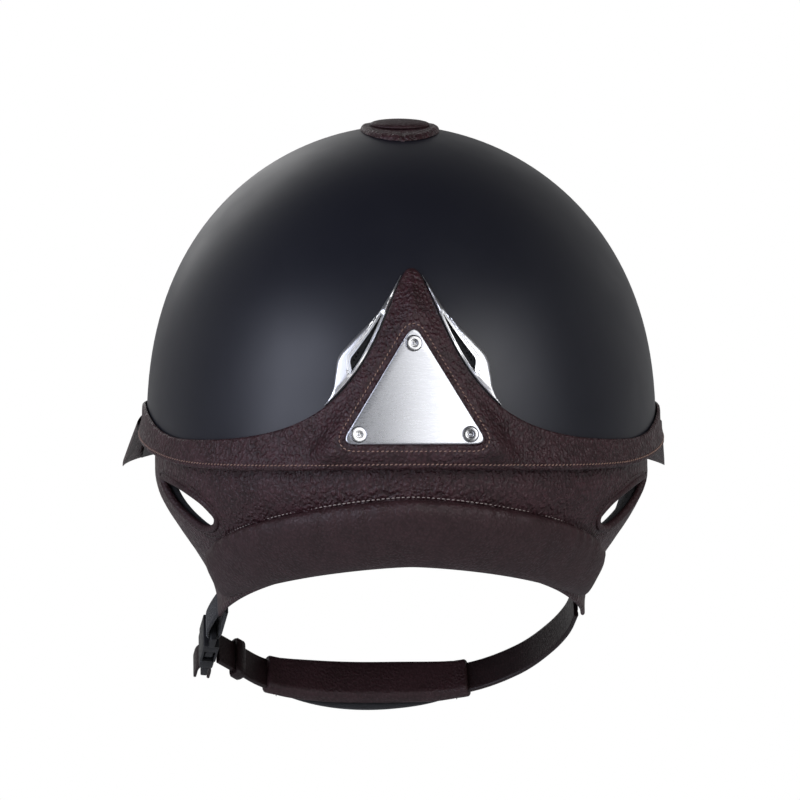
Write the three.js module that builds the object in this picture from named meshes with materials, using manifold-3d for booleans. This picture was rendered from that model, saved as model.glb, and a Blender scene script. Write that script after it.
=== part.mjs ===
// An equestrian riding helmet, in millimetres: +Z up, the peak points to -Y and the nape to +Y.
// Z = 0 lies just under the leather trim at the nape, and X = 0 is the helmet's own middle plane.
import * as THREE from 'three';
import { mergeVertices } from 'three/addons/utils/BufferGeometryUtils.js';
import Module from 'manifold-3d';

const wasm = await Module();
wasm.setup();

const DEG = Math.PI / 180;
const GAP = 0.3; // air kept between neighbouring pieces

// Shell: a dome over an oval whose centre moves forward towards the crown.
const SHELL = {
  halfWidth: 110.6,
  rearLength: 116,
  frontLength: 140,
  base: 11, // height where the dome starts; the wall is upright below it
  height: 134.6,
  rimCentre: 20,
  crownCentre: -8,
  wall: 3,
};
const DOME_POWER = 2.4; // squareness of the dome's profile up the wall
const CROWN_POWER = 1.91; // and over the crown

// Layers inside the shell, measured inward from its outer face.
const LINER = { outer: 6.2, inner: 27 };
const COMFORT = { outer: 28, inner: 32.5 };

// Flat metal plate on the leather at the nape.
const PLATE = { width: 61.2, height: 50, low: 11.6, corner: 6, thick: 1.8, tilt: 12.5 * DEG, depth: 142 };
const PLATE_SCREW = { head: 3.3, hole: 3.6, shank: 1.4, sink: 1.5, clearance: 0.3 };

// Leather trim, harness and chin strap.
const TRIM_HEIGHT = 10.8;
const TRIANGLE = { rise: 92, spread: 20.6, tip: 63.5, power: 2.6 };
const HARNESS = { halfWidth: 106.9, rearLength: 112.4, frontLength: 136.4, thick: 2 };
const STRAP = { width: 15.5, thick: 2, slope: 50 * DEG, startY: 14, startZ: -68 };
const TAB = { y: 19, z: -60 };
const PAD = { from: -31.5, to: 58, width: 19.5 };

const MATERIALS = {
  shell: { color: 0x2b2b33, roughness: 0.45, metalness: 0 },
  leather: { color: 0x3d3130, roughness: 0.6, metalness: 0 },
  darkLeather: { color: 0x2a2020, roughness: 0.55, metalness: 0 },
  chrome: { color: 0xd8dade, roughness: 0.12, metalness: 1 },
  satin: { color: 0xb9bbc4, roughness: 0.35, metalness: 1 },
  plastic: { color: 0x101012, roughness: 0.4, metalness: 0 },
  foam: { color: 0x1a1a1c, roughness: 0.9, metalness: 0 },
  fabric: { color: 0x0e0e10, roughness: 0.95, metalness: 0 },
};

const helmet = new THREE.Group();

const vec = (x, y, z) => new THREE.Vector3(x, y, z);
const mix = THREE.MathUtils.lerp;
const ease = (x, low, high) => THREE.MathUtils.smoothstep(x, low, high);

// ---------- solids ----------

/** A closed geometry as a manifold solid, with its faces turned outward. */
function solid(geometry) {
  const bare = geometry.clone();
  bare.deleteAttribute('normal');
  bare.deleteAttribute('uv');
  const merged = mergeVertices(bare, 1e-4);
  const points = merged.getAttribute('position').array;
  const index = merged.index.array;
  const faces = [];
  let volume = 0;
  for (let i = 0; i < index.length; i += 3) {
    const [a, b, c] = [index[i], index[i + 1], index[i + 2]];
    if (a === b || b === c || c === a) continue;
    faces.push(a, b, c);
    const [p, q, r] = [a, b, c].map((k) => vec(points[3 * k], points[3 * k + 1], points[3 * k + 2]));
    volume += p.dot(q.cross(r));
  }
  if (volume < 0) faces.reverse();
  const mesh = new wasm.Mesh({
    numProp: 3,
    vertProperties: new Float32Array(points),
    triVerts: new Uint32Array(faces),
  });
  return new wasm.Manifold(mesh);
}

/** Adds a solid to the helmet as one named mesh. */
function addPiece(name, shape, material, parent = helmet) {
  const { vertProperties, triVerts } = shape.getMesh();
  const geometry = new THREE.BufferGeometry();
  geometry.setAttribute('position', new THREE.BufferAttribute(new Float32Array(vertProperties), 3));
  geometry.setIndex(new THREE.BufferAttribute(new Uint32Array(triVerts), 1));
  geometry.computeVertexNormals();
  const mesh = new THREE.Mesh(geometry, new THREE.MeshStandardMaterial(MATERIALS[material]));
  mesh.name = name;
  parent.add(mesh);
  return mesh;
}

/** Moves every vertex of a geometry to place(vertex, its number). */
function reshape(geometry, place) {
  const position = geometry.getAttribute('position');
  const from = vec(0, 0, 0);
  for (let i = 0; i < position.count; i += 1) {
    const to = place(from.fromBufferAttribute(position, i), i);
    position.setXYZ(i, to.x, to.y, to.z);
  }
  return geometry;
}

/** A slab bent to place(u, v, w), each running from 0 to 1: along, across and through. */
function slab(along, across, place) {
  const box = new THREE.BoxGeometry(1, 1, 1, along, across, 1);
  return solid(reshape(box, (p) => place(p.x + 0.5, p.y + 0.5, p.z + 0.5)));
}

/** A ring or cup: a lathe whose rows are placed one by one by place(angle, row). */
function lathed(rows, segments, place, angleAt = (turn) => turn * 2 * Math.PI) {
  const profile = rows.map((row, i) => new THREE.Vector2(1, i));
  const lathe = new THREE.LatheGeometry(profile, segments);
  return solid(
    reshape(lathe, (p, i) => {
      const column = Math.floor(i / rows.length) % segments;
      return place(angleAt(column / segments), rows[i % rows.length]);
    }),
  );
}

/** A turned piece on the Z axis, from [radius, height] pairs that start and end on the axis. */
function turned(pairs, segments = 28) {
  const lathe = new THREE.LatheGeometry(pairs.map(([r, z]) => new THREE.Vector2(r, z)), segments);
  lathe.rotateX(Math.PI / 2);
  return solid(lathe);
}

/** A box between two corners. */
function block(low, high) {
  const box = new THREE.BoxGeometry(high[0] - low[0], high[1] - low[1], high[2] - low[2]);
  box.translate((low[0] + high[0]) / 2, (low[1] + high[1]) / 2, (low[2] + high[2]) / 2);
  return solid(box);
}

/** A shape drawn as seen from the back or front (x, z), run along Y from low to high. */
function prismY(shape, low, high) {
  const prism = new THREE.ExtrudeGeometry(shape, { depth: high - low, bevelEnabled: false });
  prism.rotateX(Math.PI / 2);
  prism.translate(0, high, 0);
  return solid(prism);
}

/** A shape drawn as seen from the side (y, z), run along X from low to high. */
function prismX(shape, low, high) {
  const prism = new THREE.ExtrudeGeometry(shape, { depth: high - low, bevelEnabled: false });
  prism.applyMatrix4(new THREE.Matrix4().makeBasis(vec(0, 1, 0), vec(0, 0, 1), vec(1, 0, 0)));
  prism.translate(low, 0, 0);
  return solid(prism);
}

/** A straight round bar between two points. */
function bar(from, to, radius, sides = 12) {
  const line = to.clone().sub(from);
  const rod = new THREE.CylinderGeometry(radius, radius, line.length(), sides);
  rod.applyQuaternion(new THREE.Quaternion().setFromUnitVectors(vec(0, 1, 0), line.clone().normalize()));
  rod.translate((from.x + to.x) / 2, (from.y + to.y) / 2, (from.z + to.z) / 2);
  return solid(rod);
}

/** An angle brought to between minus and plus half a turn. */
const wrap = (angle) => (angle > Math.PI ? angle - 2 * Math.PI : angle);

const mirrored = (shape) => shape.mirror([1, 0, 0]);

// ---------- the helmet's surfaces ----------

/** Point of the dome at an angle from the nape and a rise from 0, the base, to 90 degrees. */
function domePoint(angle, rise, offset) {
  const t = Math.sin(rise) ** (2 / DOME_POWER);
  const w = Math.max(Math.cos(rise), 0) ** (2 / CROWN_POWER);
  const length = (Math.cos(angle) > 0 ? SHELL.rearLength : SHELL.frontLength) + offset;
  const centre = mix(SHELL.rimCentre, SHELL.crownCentre, t * t);
  return vec(
    (SHELL.halfWidth + offset) * Math.sin(angle) * w,
    centre + length * Math.cos(angle) * w,
    SHELL.base + (SHELL.height + offset) * t,
  );
}

/** The rise at which the dome reaches a height. */
function riseAt(z, offset = 0) {
  const t = THREE.MathUtils.clamp((z - SHELL.base) / (SHELL.height + offset), 0, 1);
  return Math.asin(t ** (DOME_POWER / 2));
}

/** Point of the shell's face at an angle from the nape and a height. */
function wallPoint(angle, z, offset = 0) {
  const point = domePoint(angle, riseAt(z, offset), offset);
  point.z = z;
  return point;
}

/** How far the trim dips on either side of the nape. */
const trimDip = (angle) => (Math.cos(angle) > 0 ? 1.5 * Math.sin(2 * angle) ** 2 : 0);

/** Lower edge of the trim: lowest at the nape, higher over the ears and the brow. */
function trimLow(angle) {
  return 1.2 + 16.8 * ease(Math.abs(angle) / DEG, 50, 130) - trimDip(angle);
}

/** Height of the leather triangle's edge above the trim, across from the middle plane. */
function triangleRise(x) {
  const across = (Math.abs(x) ** TRIANGLE.power + TRIANGLE.tip) ** (1 / TRIANGLE.power);
  return TRIANGLE.rise * Math.exp(-across / TRIANGLE.spread);
}

/** Upper edge of the trim, which climbs to the tip of the triangle at the nape. */
function trimHigh(angle) {
  const turn = Math.abs(angle) / DEG;
  const climb = 13.3 * ease(turn, 56, 94) ** 1.35 + 5 * ease(turn, 110, 170);
  const band = 1.2 + TRIM_HEIGHT + climb - trimDip(angle);
  if (turn > 88) return band;
  let high = band;
  for (let pass = 0; pass < 24; pass += 1) {
    high = mix(high, band + triangleRise(wallPoint(angle, high).x), 0.4);
  }
  return high;
}

/** How far a point is outside the plate's outline, seen from behind. */
function outsidePlate(x, z) {
  const lean = Math.atan2(PLATE.width / 2, PLATE.height);
  const side = (Math.abs(x) - PLATE.width / 2) * Math.cos(lean) + (z - PLATE.low) * Math.sin(lean);
  return Math.max(PLATE.low - z, side);
}

/** Depth of the flat seat that the plate lies on. */
const seatY = (z) => PLATE.depth - (z - PLATE.low) * Math.tan(PLATE.tilt);

/** Outer face of the trim: a soft band, brought out to a flat seat behind the plate. */
function trimFace(angle, share) {
  const low = trimLow(angle);
  const z = mix(low, trimHigh(angle), share);
  const bulge = 2 + 1.7 * ease(TRIM_HEIGHT - (z - low), 0, TRIM_HEIGHT) - 1.2 * ease(1.5 - (z - low), 0, 1.5);
  const point = wallPoint(angle, z, bulge);
  if (Math.cos(angle) < 0.7) return point;
  const flat = 1 - ease(outsidePlate(point.x, z), 2.5, 11);
  point.y = mix(point.y, seatY(z), flat);
  return point;
}

/** Outer face of the harness skirt at an angle from the nape and a height. */
function skirtPoint(angle, z, offset = 0) {
  const shrink = 1 - (27 / 107) * ease(-z, 4, 62);
  const length = Math.cos(angle) > 0 ? HARNESS.rearLength : HARNESS.frontLength;
  return vec(
    (HARNESS.halfWidth * shrink + offset) * Math.sin(angle),
    SHELL.rimCentre + (length * shrink + offset) * Math.cos(angle),
    z,
  );
}

// ---------- shell and liners ----------

/** A cup between two offsets from the shell's face, open at a rim height. */
function cup(outer, inner, rim, segments = 44, steps = 10) {
  const rows = [];
  for (let k = 0; k <= steps; k += 1) rows.push({ k, offset: outer });
  for (let k = steps; k >= 0; k -= 1) rows.push({ k, offset: inner });
  rows.push({ k: 0, offset: outer });
  return lathed(rows, segments, (angle, { k, offset }) => {
    const edge = rim(angle);
    if (k === 0) return wallPoint(angle, edge, offset);
    const start = riseAt(Math.max(edge + 5, SHELL.base));
    return domePoint(angle, mix(start, Math.PI / 2, (k - 1) / (steps - 1)), offset);
  });
}

const shellRim = (angle) => trimLow(wrap(angle)) + 2.5;

/** The space inside a face of the shell, as one filled dome. */
function filledDome(offset) {
  const steps = 10;
  const rows = [{ floor: true }];
  for (let k = 0; k <= steps; k += 1) rows.push({ k });
  return lathed(rows, 44, (angle, { k, floor }) => {
    if (floor) return vec(0, SHELL.rimCentre, SHELL.base + 20);
    return domePoint(angle, mix(riseAt(SHELL.base + 20), Math.PI / 2, k / steps), offset);
  });
}

// ---------- vents ----------

/** Height of the leather's edge beside the rear vents, across from the middle plane. */
const leatherEdge = (x) => TRIM_HEIGHT + 1.2 + triangleRise(x);

/** Full width of the rear bezel, outward from the leather's edge at x. */
function bezelWidth(x) {
  const share = Math.max((x - 6) / 32.5, 0);
  const swell = 9.6 * Math.max(Math.sin(Math.PI * share ** 1.15), 0) ** 1.1;
  return (swell + 0.9) * (1 - 0.85 * ease(x, 22, 35));
}

/** The same to the far side of the vent's mouth. */
const mouthWidth = (x) => 0.54 * bezelWidth(x) * (1 - ease(x, 21, 26));

/** Crescent along the leather's edge, from one x to another, between a near and a far border. */
function crescent(from, to, near, far) {
  const inner = [];
  const outer = [];
  const steps = 12;
  for (let i = 0; i <= steps; i += 1) {
    const x = mix(from, to, i / steps);
    const z = leatherEdge(x);
    const slope = (leatherEdge(x + 0.1) - z) / 0.1;
    const edge = new THREE.Vector2(x, z);
    const normal = new THREE.Vector2(-slope, 1).normalize();
    inner.push(edge.clone().addScaledVector(normal, near));
    outer.push(edge.clone().addScaledVector(normal, Math.max(far(x), near + 0.05)));
  }
  return new THREE.Shape([...inner, ...outer.reverse()]);
}

/** Bar-shaped outline of the brow vent, grown by a border. */
function browSlot(border) {
  const half = 30 + border;
  const low = 44 - border;
  const high = 54 + border;
  const end = (high - low) / 2;
  const shape = new THREE.Shape();
  shape.moveTo(-half + end, low);
  shape.lineTo(half - end, low);
  shape.absarc(half - end, low + end, end, -Math.PI / 2, Math.PI / 2);
  shape.lineTo(-half + end, high);
  shape.absarc(-half + end, low + end, end, Math.PI / 2, 1.5 * Math.PI);
  return shape;
}

/** A vent as the shapes of its lip, neck, hole and mouth, and the stretch of Y it crosses. */
const REAR_VENT = {
  lip: crescent(3.6, 37, 0.6, bezelWidth),
  neck: crescent(10, 25.6, 1.2, (x) => mouthWidth(x) + 1),
  hole: crescent(9.4, 26.2, 0.8, (x) => mouthWidth(x) + 1.4),
  mouth: crescent(11, 24.6, 1.9, mouthWidth),
  grille: crescent(11.8, 24.2, 2.2, (x) => mouthWidth(x) - 0.4),
  reach: [40, 170],
};
const BROW_VENT = {
  lip: browSlot(4),
  neck: browSlot(1.6),
  hole: browSlot(2),
  mouth: browSlot(0),
  grille: browSlot(-0.4),
  reach: [-170, -40],
};

const ventPrism = (vent, part) => prismY(vent[part], ...vent.reach);

function ventBezel(vent) {
  const lip = cup(2.2, GAP, shellRim).intersect(ventPrism(vent, 'lip'));
  const neck = cup(2.2, -4.6, shellRim).intersect(ventPrism(vent, 'neck'));
  return lip.add(neck).subtract(ventPrism(vent, 'mouth'));
}

/** Mesh set in the vent's neck, pierced by slots given as [x, z, length]. */
function ventMesh(vent, slots) {
  const [back, front] = vent.reach;
  const halfSlot = 0.7;
  let mesh = cup(-2, -3, shellRim).intersect(ventPrism(vent, 'grille'));
  for (const [x, z, length] of slots) {
    const low = [x - length / 2, back, z - halfSlot];
    const high = [x + length / 2, front, z + halfSlot];
    mesh = mesh.subtract(block(low, high));
  }
  return mesh;
}

const rearSlots = [
  [23.4, 45, 1.6],
  [21.7, 48, 1.6],
  [20.2, 51, 1.6],
  [18.9, 54, 1.6],
];
const browSlots = [];
for (const z of [47, 51]) {
  for (const x of [-20, -10, 0, 10, 20]) browSlots.push([x, z, 7]);
}

const rearBezel = ventBezel(REAR_VENT);
const rearMesh = ventMesh(REAR_VENT, rearSlots);
const rearHole = ventPrism(REAR_VENT, 'hole');
const rearMouth = ventPrism(REAR_VENT, 'mouth');

addPiece('rear_vent_bezel_left', rearBezel, 'chrome');
addPiece('rear_vent_bezel_right', mirrored(rearBezel), 'chrome');
addPiece('rear_vent_mesh_left', rearMesh, 'fabric');
addPiece('rear_vent_mesh_right', mirrored(rearMesh), 'fabric');
addPiece('brow_vent_bezel', ventBezel(BROW_VENT), 'chrome');
addPiece('brow_vent_mesh', ventMesh(BROW_VENT, browSlots), 'fabric');

// ---------- top button ----------

const BUTTON = { y: 7, tilt: 8 * DEG, stretch: 1.6, hole: 2.6 };

/** Seats a solid turned about Z on the crown, tipped back with the shell there. */
function onCrown(shape) {
  const share = (BUTTON.y - SHELL.crownCentre) / SHELL.rearLength;
  const seat = domePoint(0, Math.acos(share ** (CROWN_POWER / 2)), 0);
  return shape.rotate([-BUTTON.tilt / DEG, 0, 0]).translate([0, BUTTON.y, seat.z]);
}

const buttonHole = bar(vec(0, 0, -20), vec(0, 0, 8), BUTTON.hole);
const basePoints = [[0, -14], [17.2, -14], [17.2, -1.8], [16.4, -0.8], [13.6, 0.2], [0, 0.4]];
const capPoints = [[0, 0.7], [12.4, 0.7], [13, 1.2], [12.6, 2], [11, 2.6], [0, 3.3]];
const stemPoints = [[0, -4.9], [4.6, -4.9], [4.6, -3.6], [2.2, -3.6], [2.2, 0.1], [0, 0.1]];
const base = turned(basePoints).scale([1, BUTTON.stretch, 1]).subtract(buttonHole);
addPiece('button_base', onCrown(base).subtract(filledDome(GAP)), 'leather');
addPiece('button_cap', onCrown(turned(capPoints)), 'leather');
addPiece('button_screw', onCrown(turned(stemPoints, 20)), 'satin');

// ---------- harness screws and the pieces that they hold ----------

const HARNESS_SCREWS = [
  ['rear_left', 38],
  ['front_left', 108],
  ['front_right', -108],
  ['rear_right', -38],
];

/** A bar along the shell's own outward direction, between two offsets from its face. */
function radialBar(angle, from, to, radius) {
  const z = trimLow(angle) + 5.6;
  return bar(wallPoint(angle, z, from), wallPoint(angle, z, to), radius);
}

const screwAngles = HARNESS_SCREWS.map(([, turn]) => turn * DEG);
const union = (shapes) => shapes.reduce((all, shape) => all.add(shape));
const screwHoles = union(screwAngles.map((angle) => radialBar(angle, -9, -1, 1.9)));
const screwPockets = union(screwAngles.map((angle) => radialBar(angle, -8.4, -5, 4.2)));
for (const [place, turn] of HARNESS_SCREWS) {
  const head = radialBar(turn * DEG, -7.4, -6.1, 3.4);
  const shank = radialBar(turn * DEG, -6.5, -1.4, 1.5);
  addPiece(`harness_screw_${place}`, head.add(shank), 'satin');
}

const ventHoles = rearHole.add(mirrored(rearHole)).add(ventPrism(BROW_VENT, 'hole'));
const shell = cup(0, -SHELL.wall, shellRim)
  .subtract(ventHoles)
  .subtract(onCrown(buttonHole))
  .subtract(screwHoles);
addPiece('outer_shell', shell, 'shell');

const airways = rearMouth.add(mirrored(rearMouth)).add(ventPrism(BROW_VENT, 'mouth'));
const linerRim = (angle) => trimLow(wrap(angle)) + 3.5;
const liner = cup(-LINER.outer, -LINER.inner, linerRim).subtract(airways).subtract(screwPockets);
addPiece('impact_liner', liner, 'foam');
addPiece('crown_liner', cup(-COMFORT.outer, -COMFORT.inner, () => 86, 44, 4), 'fabric');

/** Padded band around the brow and the back of the head. */
function headband() {
  const rows = [[0, 0], [0, 0.5], [0, 1], [1, 1], [1.6, 0.5], [1, 0], [0, 0]];
  return lathed(rows, 44, (angle, [depth, up]) => {
    const low = trimLow(wrap(angle)) + 4;
    const offset = -COMFORT.outer - depth * (COMFORT.inner - COMFORT.outer);
    return wallPoint(angle, mix(low, low + 38, up), offset);
  });
}
addPiece('headband', headband(), 'fabric');

// ---------- trim, plate and its screws ----------

/** Leather trim around the rim: folded under it, and rising to the triangle at the nape. */
function trim() {
  const rows = [];
  for (const up of [1, 0.8, 0.6, 0.4, 0.2]) rows.push({ offset: 0.7, up });
  rows.push({ offset: 0.7, above: 2 }, { offset: -SHELL.wall - 0.2, above: 2 });
  rows.push({ offset: -SHELL.wall - 0.2, above: 0 });
  for (let i = 0; i <= 7; i += 1) rows.push({ face: i / 7 });
  rows.push(rows[0]);
  const crowded = (turn) => {
    const even = turn * 2 * Math.PI;
    return wrap(even - 0.33 * Math.sin(2 * even));
  };
  const place = (angle, { offset, up, above, face }) => {
    if (face !== undefined) return trimFace(angle, face);
    const low = trimLow(angle);
    const z = above === undefined ? mix(low + 2, trimHigh(angle), up) : low + above;
    return wallPoint(angle, z, offset);
  };
  return lathed(rows, 68, place, crowded);
}

/** Rounded triangle drawn on the plate's own plane, its foot on the X axis. */
function plateShape() {
  const half = PLATE.width / 2;
  const corners = [
    new THREE.Vector2(-half, 0),
    new THREE.Vector2(half, 0),
    new THREE.Vector2(0, PLATE.height / Math.cos(PLATE.tilt)),
  ];
  const shape = new THREE.Shape();
  corners.forEach((corner, i) => {
    const before = corners[(i + 2) % 3].clone().sub(corner).setLength(PLATE.corner).add(corner);
    const after = corners[(i + 1) % 3].clone().sub(corner).setLength(PLATE.corner).add(corner);
    if (i === 0) shape.moveTo(before.x, before.y);
    else shape.lineTo(before.x, before.y);
    shape.quadraticCurveTo(corner.x, corner.y, after.x, after.y);
  });
  shape.closePath();
  return shape;
}

const outward = vec(0, Math.cos(PLATE.tilt), Math.sin(PLATE.tilt));
const plateFrame = new THREE.Matrix4()
  .makeBasis(vec(-1, 0, 0), vec(0, -Math.sin(PLATE.tilt), Math.cos(PLATE.tilt)), outward)
  .setPosition(0, PLATE.depth, PLATE.low);
const onPlate = (shape) => shape.transform(plateFrame.toArray());

const screwSpots = [
  ['top', 0, 42.6],
  ['left', -23.2, 4.1],
  ['right', 23.2, 4.1],
];
const plateBlank = new THREE.ExtrudeGeometry(plateShape(), { depth: PLATE.thick, bevelEnabled: false });
let plate = solid(plateBlank).translate([0, 0, GAP]);
let leatherTrim = trim();
for (const [place, x, y] of screwSpots) {
  const face = GAP + PLATE.thick;
  const upright = (low, high, radius, sides) => bar(vec(x, y, low), vec(x, y, high), radius, sides);
  const { head, hole, shank, sink, clearance } = PLATE_SCREW;
  const shankHole = upright(-3, face, shank + clearance);
  const socket = upright(face - 1.1, face, 1.4, 6);
  const screw = upright(face - 1.2, face - 0.3, head, 16).add(upright(-2.6, face - 1, shank));
  plate = plate.subtract(upright(face - sink, face + 1, hole, 16)).subtract(shankHole);
  leatherTrim = leatherTrim.subtract(onPlate(shankHole));
  addPiece(`plate_screw_${place}`, onPlate(screw.subtract(socket)), 'satin');
}
addPiece('nape_plate', onPlate(plate), 'satin');
addPiece('leather_trim', leatherTrim, 'leather');

// ---------- peak ----------

const PEAK = { reach: 56, halfWidth: 121.5, tipY: -34, sideZ: -4, frontZ: 4, sweep: 86 };

/** Point of the peak: from one side to the other, from root to edge, and through from the top. */
function peakPoint(across, out, depth) {
  const turn = mix(-PEAK.sweep, PEAK.sweep, across) * DEG;
  const angle = Math.PI - turn;
  const root = wallPoint(angle, trimLow(wrap(angle)) + 5.5, 4.3);
  const frontY = SHELL.rimCentre - SHELL.frontLength - PEAK.reach;
  const edge = vec(
    PEAK.halfWidth * Math.sin(turn),
    mix(PEAK.tipY, frontY, Math.cos(turn) ** 0.85),
    mix(PEAK.sideZ, PEAK.frontZ, Math.cos(turn) ** 1.4),
  );
  const point = root.lerp(edge, out);
  point.z += 3.2 * Math.sin(Math.PI * out) * Math.cos(turn) - depth;
  return point;
}

addPiece('peak', slab(30, 4, (u, v, w) => peakPoint(u, v, 2.6 * w)), 'leather');
const underPeak = (u, v, w) => peakPoint(mix(0.02, 0.98, u), mix(0.06, 0.95, v), 3.1 + 1.1 * w);
addPiece('peak_lining', slab(30, 4, underPeak), 'darkLeather');

// ---------- harness ----------

/** Skirt between two offsets from the harness' face, down to a low edge. */
function skirt(outer, inner, above, low) {
  const heights = [0, 0.15, 0.26, 0.37, 0.48, 0.59, 0.7, 0.78, 0.86, 1];
  const rows = heights.map((down) => ({ down, offset: outer }));
  rows.push(...heights.map((down) => ({ down, offset: inner })).reverse(), rows[0]);
  return lathed(rows, 52, (angle, { down, offset }) => {
    return skirtPoint(angle, mix(trimLow(wrap(angle)) + above, low, down), offset);
  });
}

/** Outline of the whole harness from the side: nape, tab under the ear and strap to the temple. */
function harnessOutline() {
  const outline = new THREE.Shape();
  outline.moveTo(170, 40);
  outline.lineTo(170, -41);
  outline.lineTo(111, -41);
  outline.bezierCurveTo(86, -49, 60, -57.5, TAB.y + 6.6, TAB.z - 7.8);
  outline.lineTo(TAB.y - 6.4, TAB.z + 7.7);
  outline.bezierCurveTo(4, -34, -16, -22, -32, 40);
  return outline;
}

/** Outline of the ear opening from the side, grown by a margin. */
function earOutline(margin) {
  const upper = [[46, -7], [58, -7.5], [70, -10.5], [80, -15.5]];
  const lower = [[82, -21], [76, -25.5], [67, -26], [58, -21], [49, -13]];
  const middle = new THREE.Vector2(66, -17);
  const grown = [...upper, ...lower].map(([y, z]) => {
    const out = new THREE.Vector2(y, z).sub(middle);
    return out.setLength(out.length() + margin).add(middle);
  });
  return new THREE.Shape(new THREE.SplineCurve([...grown, grown[0]]).getPoints(30).slice(0, -1));
}

const NAPE_SPLIT = 86; // the nape panel meets the side pieces here
const harness = skirt(0, -HARNESS.thick, 8, -75)
  .intersect(prismX(harnessOutline(), -140, 140))
  .subtract(prismX(earOutline(0), -140, 140))
  .subtract(screwHoles);
addPiece('nape_panel', harness.intersect(block([-140, NAPE_SPLIT + GAP, -80], [140, 180, 60])), 'leather');
const sides = harness.intersect(block([-140, -80, -80], [140, NAPE_SPLIT, 60]));
addPiece('side_harness_left', sides.intersect(block([0, -80, -80], [140, 180, 60])), 'leather');
addPiece('side_harness_right', sides.intersect(block([-140, -80, -80], [0, 180, 60])), 'leather');

const lining = skirt(-HARNESS.thick - GAP, -HARNESS.thick - 3, 8, -75)
  .intersect(skirt(1, -HARNESS.thick - 4, -4, -75))
  .intersect(prismX(harnessOutline(), -140, 140))
  .subtract(prismX(earOutline(1.5), -140, 140))
  .intersect(block([-140, -80, -48], [140, NAPE_SPLIT - 8, 60]));
addPiece('ear_lining_left', lining.intersect(block([0, -80, -80], [140, 180, 60])), 'fabric');
addPiece('ear_lining_right', lining.intersect(block([-140, -80, -80], [0, 180, 60])), 'fabric');

const ROLL_SWEEP = 72; // degrees from the nape to either end of the neck roll

/** Neck roll: a pillow on the harness' outer face, along its low edge. */
function rollPoint(across, up, depth) {
  const angle = mix(-ROLL_SWEEP, ROLL_SWEEP, across) * DEG;
  const turn = Math.abs(angle) / DEG;
  const low = -40.8 - 15.2 * (turn / 60) ** 1.5;
  const high = -11.4 - 24.4 * (turn / 65) ** 1.5;
  const middle = (low + high) / 2;
  const round = Math.sqrt(Math.max(1 - Math.abs(2 * across - 1) ** 7, 0.02));
  const half = ((high - low) / 2) * mix(0.55, 1, round);
  const z = middle + half * (2 * up - 1);
  const swell = Math.sqrt(Math.max(1 - Math.abs(2 * up - 1) ** 2.4, 0));
  return skirtPoint(angle, z, 0.9 + (0.8 + 7.5 * swell * round) * (1 - depth));
}
addPiece('neck_roll', slab(28, 6, rollPoint), 'leather');

// ---------- chin strap ----------

const down = vec(0, -Math.sin(STRAP.slope), -Math.cos(STRAP.slope));
const breadth = vec(0, -Math.cos(STRAP.slope), Math.sin(STRAP.slope));

/** Point of the hanging plane: across the face, and down and forward from the strap's start. */
const hang = (x, drop) => vec(x, STRAP.startY, STRAP.startZ).addScaledVector(down, drop);

const strapPath = new THREE.CatmullRomCurve3(
  [
    [-76, -9],
    [-73, 4],
    [-66, 18],
    [-53, 34],
    [-30, 48],
    [4, 51],
    [36, 49.5],
    [58, 44],
    [71, 32.6],
    [79.5, 24.5],
  ].map(([x, drop]) => hang(x, drop)),
  false,
  'centripetal',
);

/** A band along the strap between two shares of its length, with a width and two depths. */
function band(from, to, steps, width, outer, inner, shift = 0) {
  return slab(steps, 1, (u, v, w) => {
    const share = mix(from, to, u);
    const tangent = strapPath.getTangentAt(share);
    const inwards = breadth.clone().cross(tangent).normalize();
    return strapPath
      .getPointAt(share)
      .addScaledVector(breadth, (v - 0.5) * width + shift)
      .addScaledVector(inwards, mix(outer, inner, w));
  });
}

/** The share of the strap's length at which it passes a sideways position. */
function shareAt(x) {
  let low = 0;
  let high = 1;
  for (let pass = 0; pass < 40; pass += 1) {
    const middle = (low + high) / 2;
    if (strapPath.getPointAt(middle).x < x) low = middle;
    else high = middle;
  }
  return low;
}

const padFrom = shareAt(PAD.from);
const padTo = shareAt(PAD.to);
const strapFace = STRAP.thick / 2;
addPiece('chin_strap', band(0, 1, 44, STRAP.width, -strapFace, strapFace), 'darkLeather');
const sleeve = band(padFrom, padTo, 22, PAD.width, -3.6, 3.8);
const sleeveFace = strapFace + GAP;
const sleeveHole = band(padFrom - 0.02, padTo + 0.02, 26, STRAP.width + 1, -sleeveFace, sleeveFace);
addPiece('chin_pad', sleeve.subtract(sleeveHole), 'leather');
addPiece('chin_pad_backing', band(padFrom + 0.04, padTo - 0.04, 22, 17, -7.5, -3.9, -2), 'fabric');
const keeperFrom = shareAt(69);
const keeperTo = shareAt(72.6);
const keeper = band(keeperFrom, keeperTo, 1, STRAP.width + 4, -strapFace - 2, strapFace + 2);
const keeperFace = strapFace + 0.6;
const keeperHole = band(keeperFrom - 0.02, keeperTo + 0.02, 1, STRAP.width + 1.2, -keeperFace, keeperFace);
addPiece('strap_keeper', keeper.subtract(keeperHole), 'darkLeather');

// ---------- buckle ----------

const BUCKLE = { width: 17.6, thick: 7, socket: 11, plug: 5, frame: 5.6, bar: 1.8, tongue: 8.5 };
const buckleUp = vec(-0.16, 0, 0).sub(down).normalize();
const buckleIn = breadth.clone().cross(buckleUp).normalize();
const buckleFrame = new THREE.Matrix4().makeBasis(breadth, buckleUp, buckleIn).setPosition(hang(84.1, 22.5));
const onBuckle = (shape) => shape.transform(buckleFrame.toArray());
const box = (x, y0, y1, z) => block([-x, y0, -z], [x, y1, z]);
const buckleSide = BUCKLE.width / 2;
const buckleFace = BUCKLE.thick / 2;

/** Frame with a slot for webbing, reaching up from low to the bar that ends at high. */
function webFrame(low, high) {
  return box(buckleSide, low, high, 1.4).subtract(box(buckleSide - 2.2, low + 1.2, high - BUCKLE.bar, 5));
}

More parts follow.
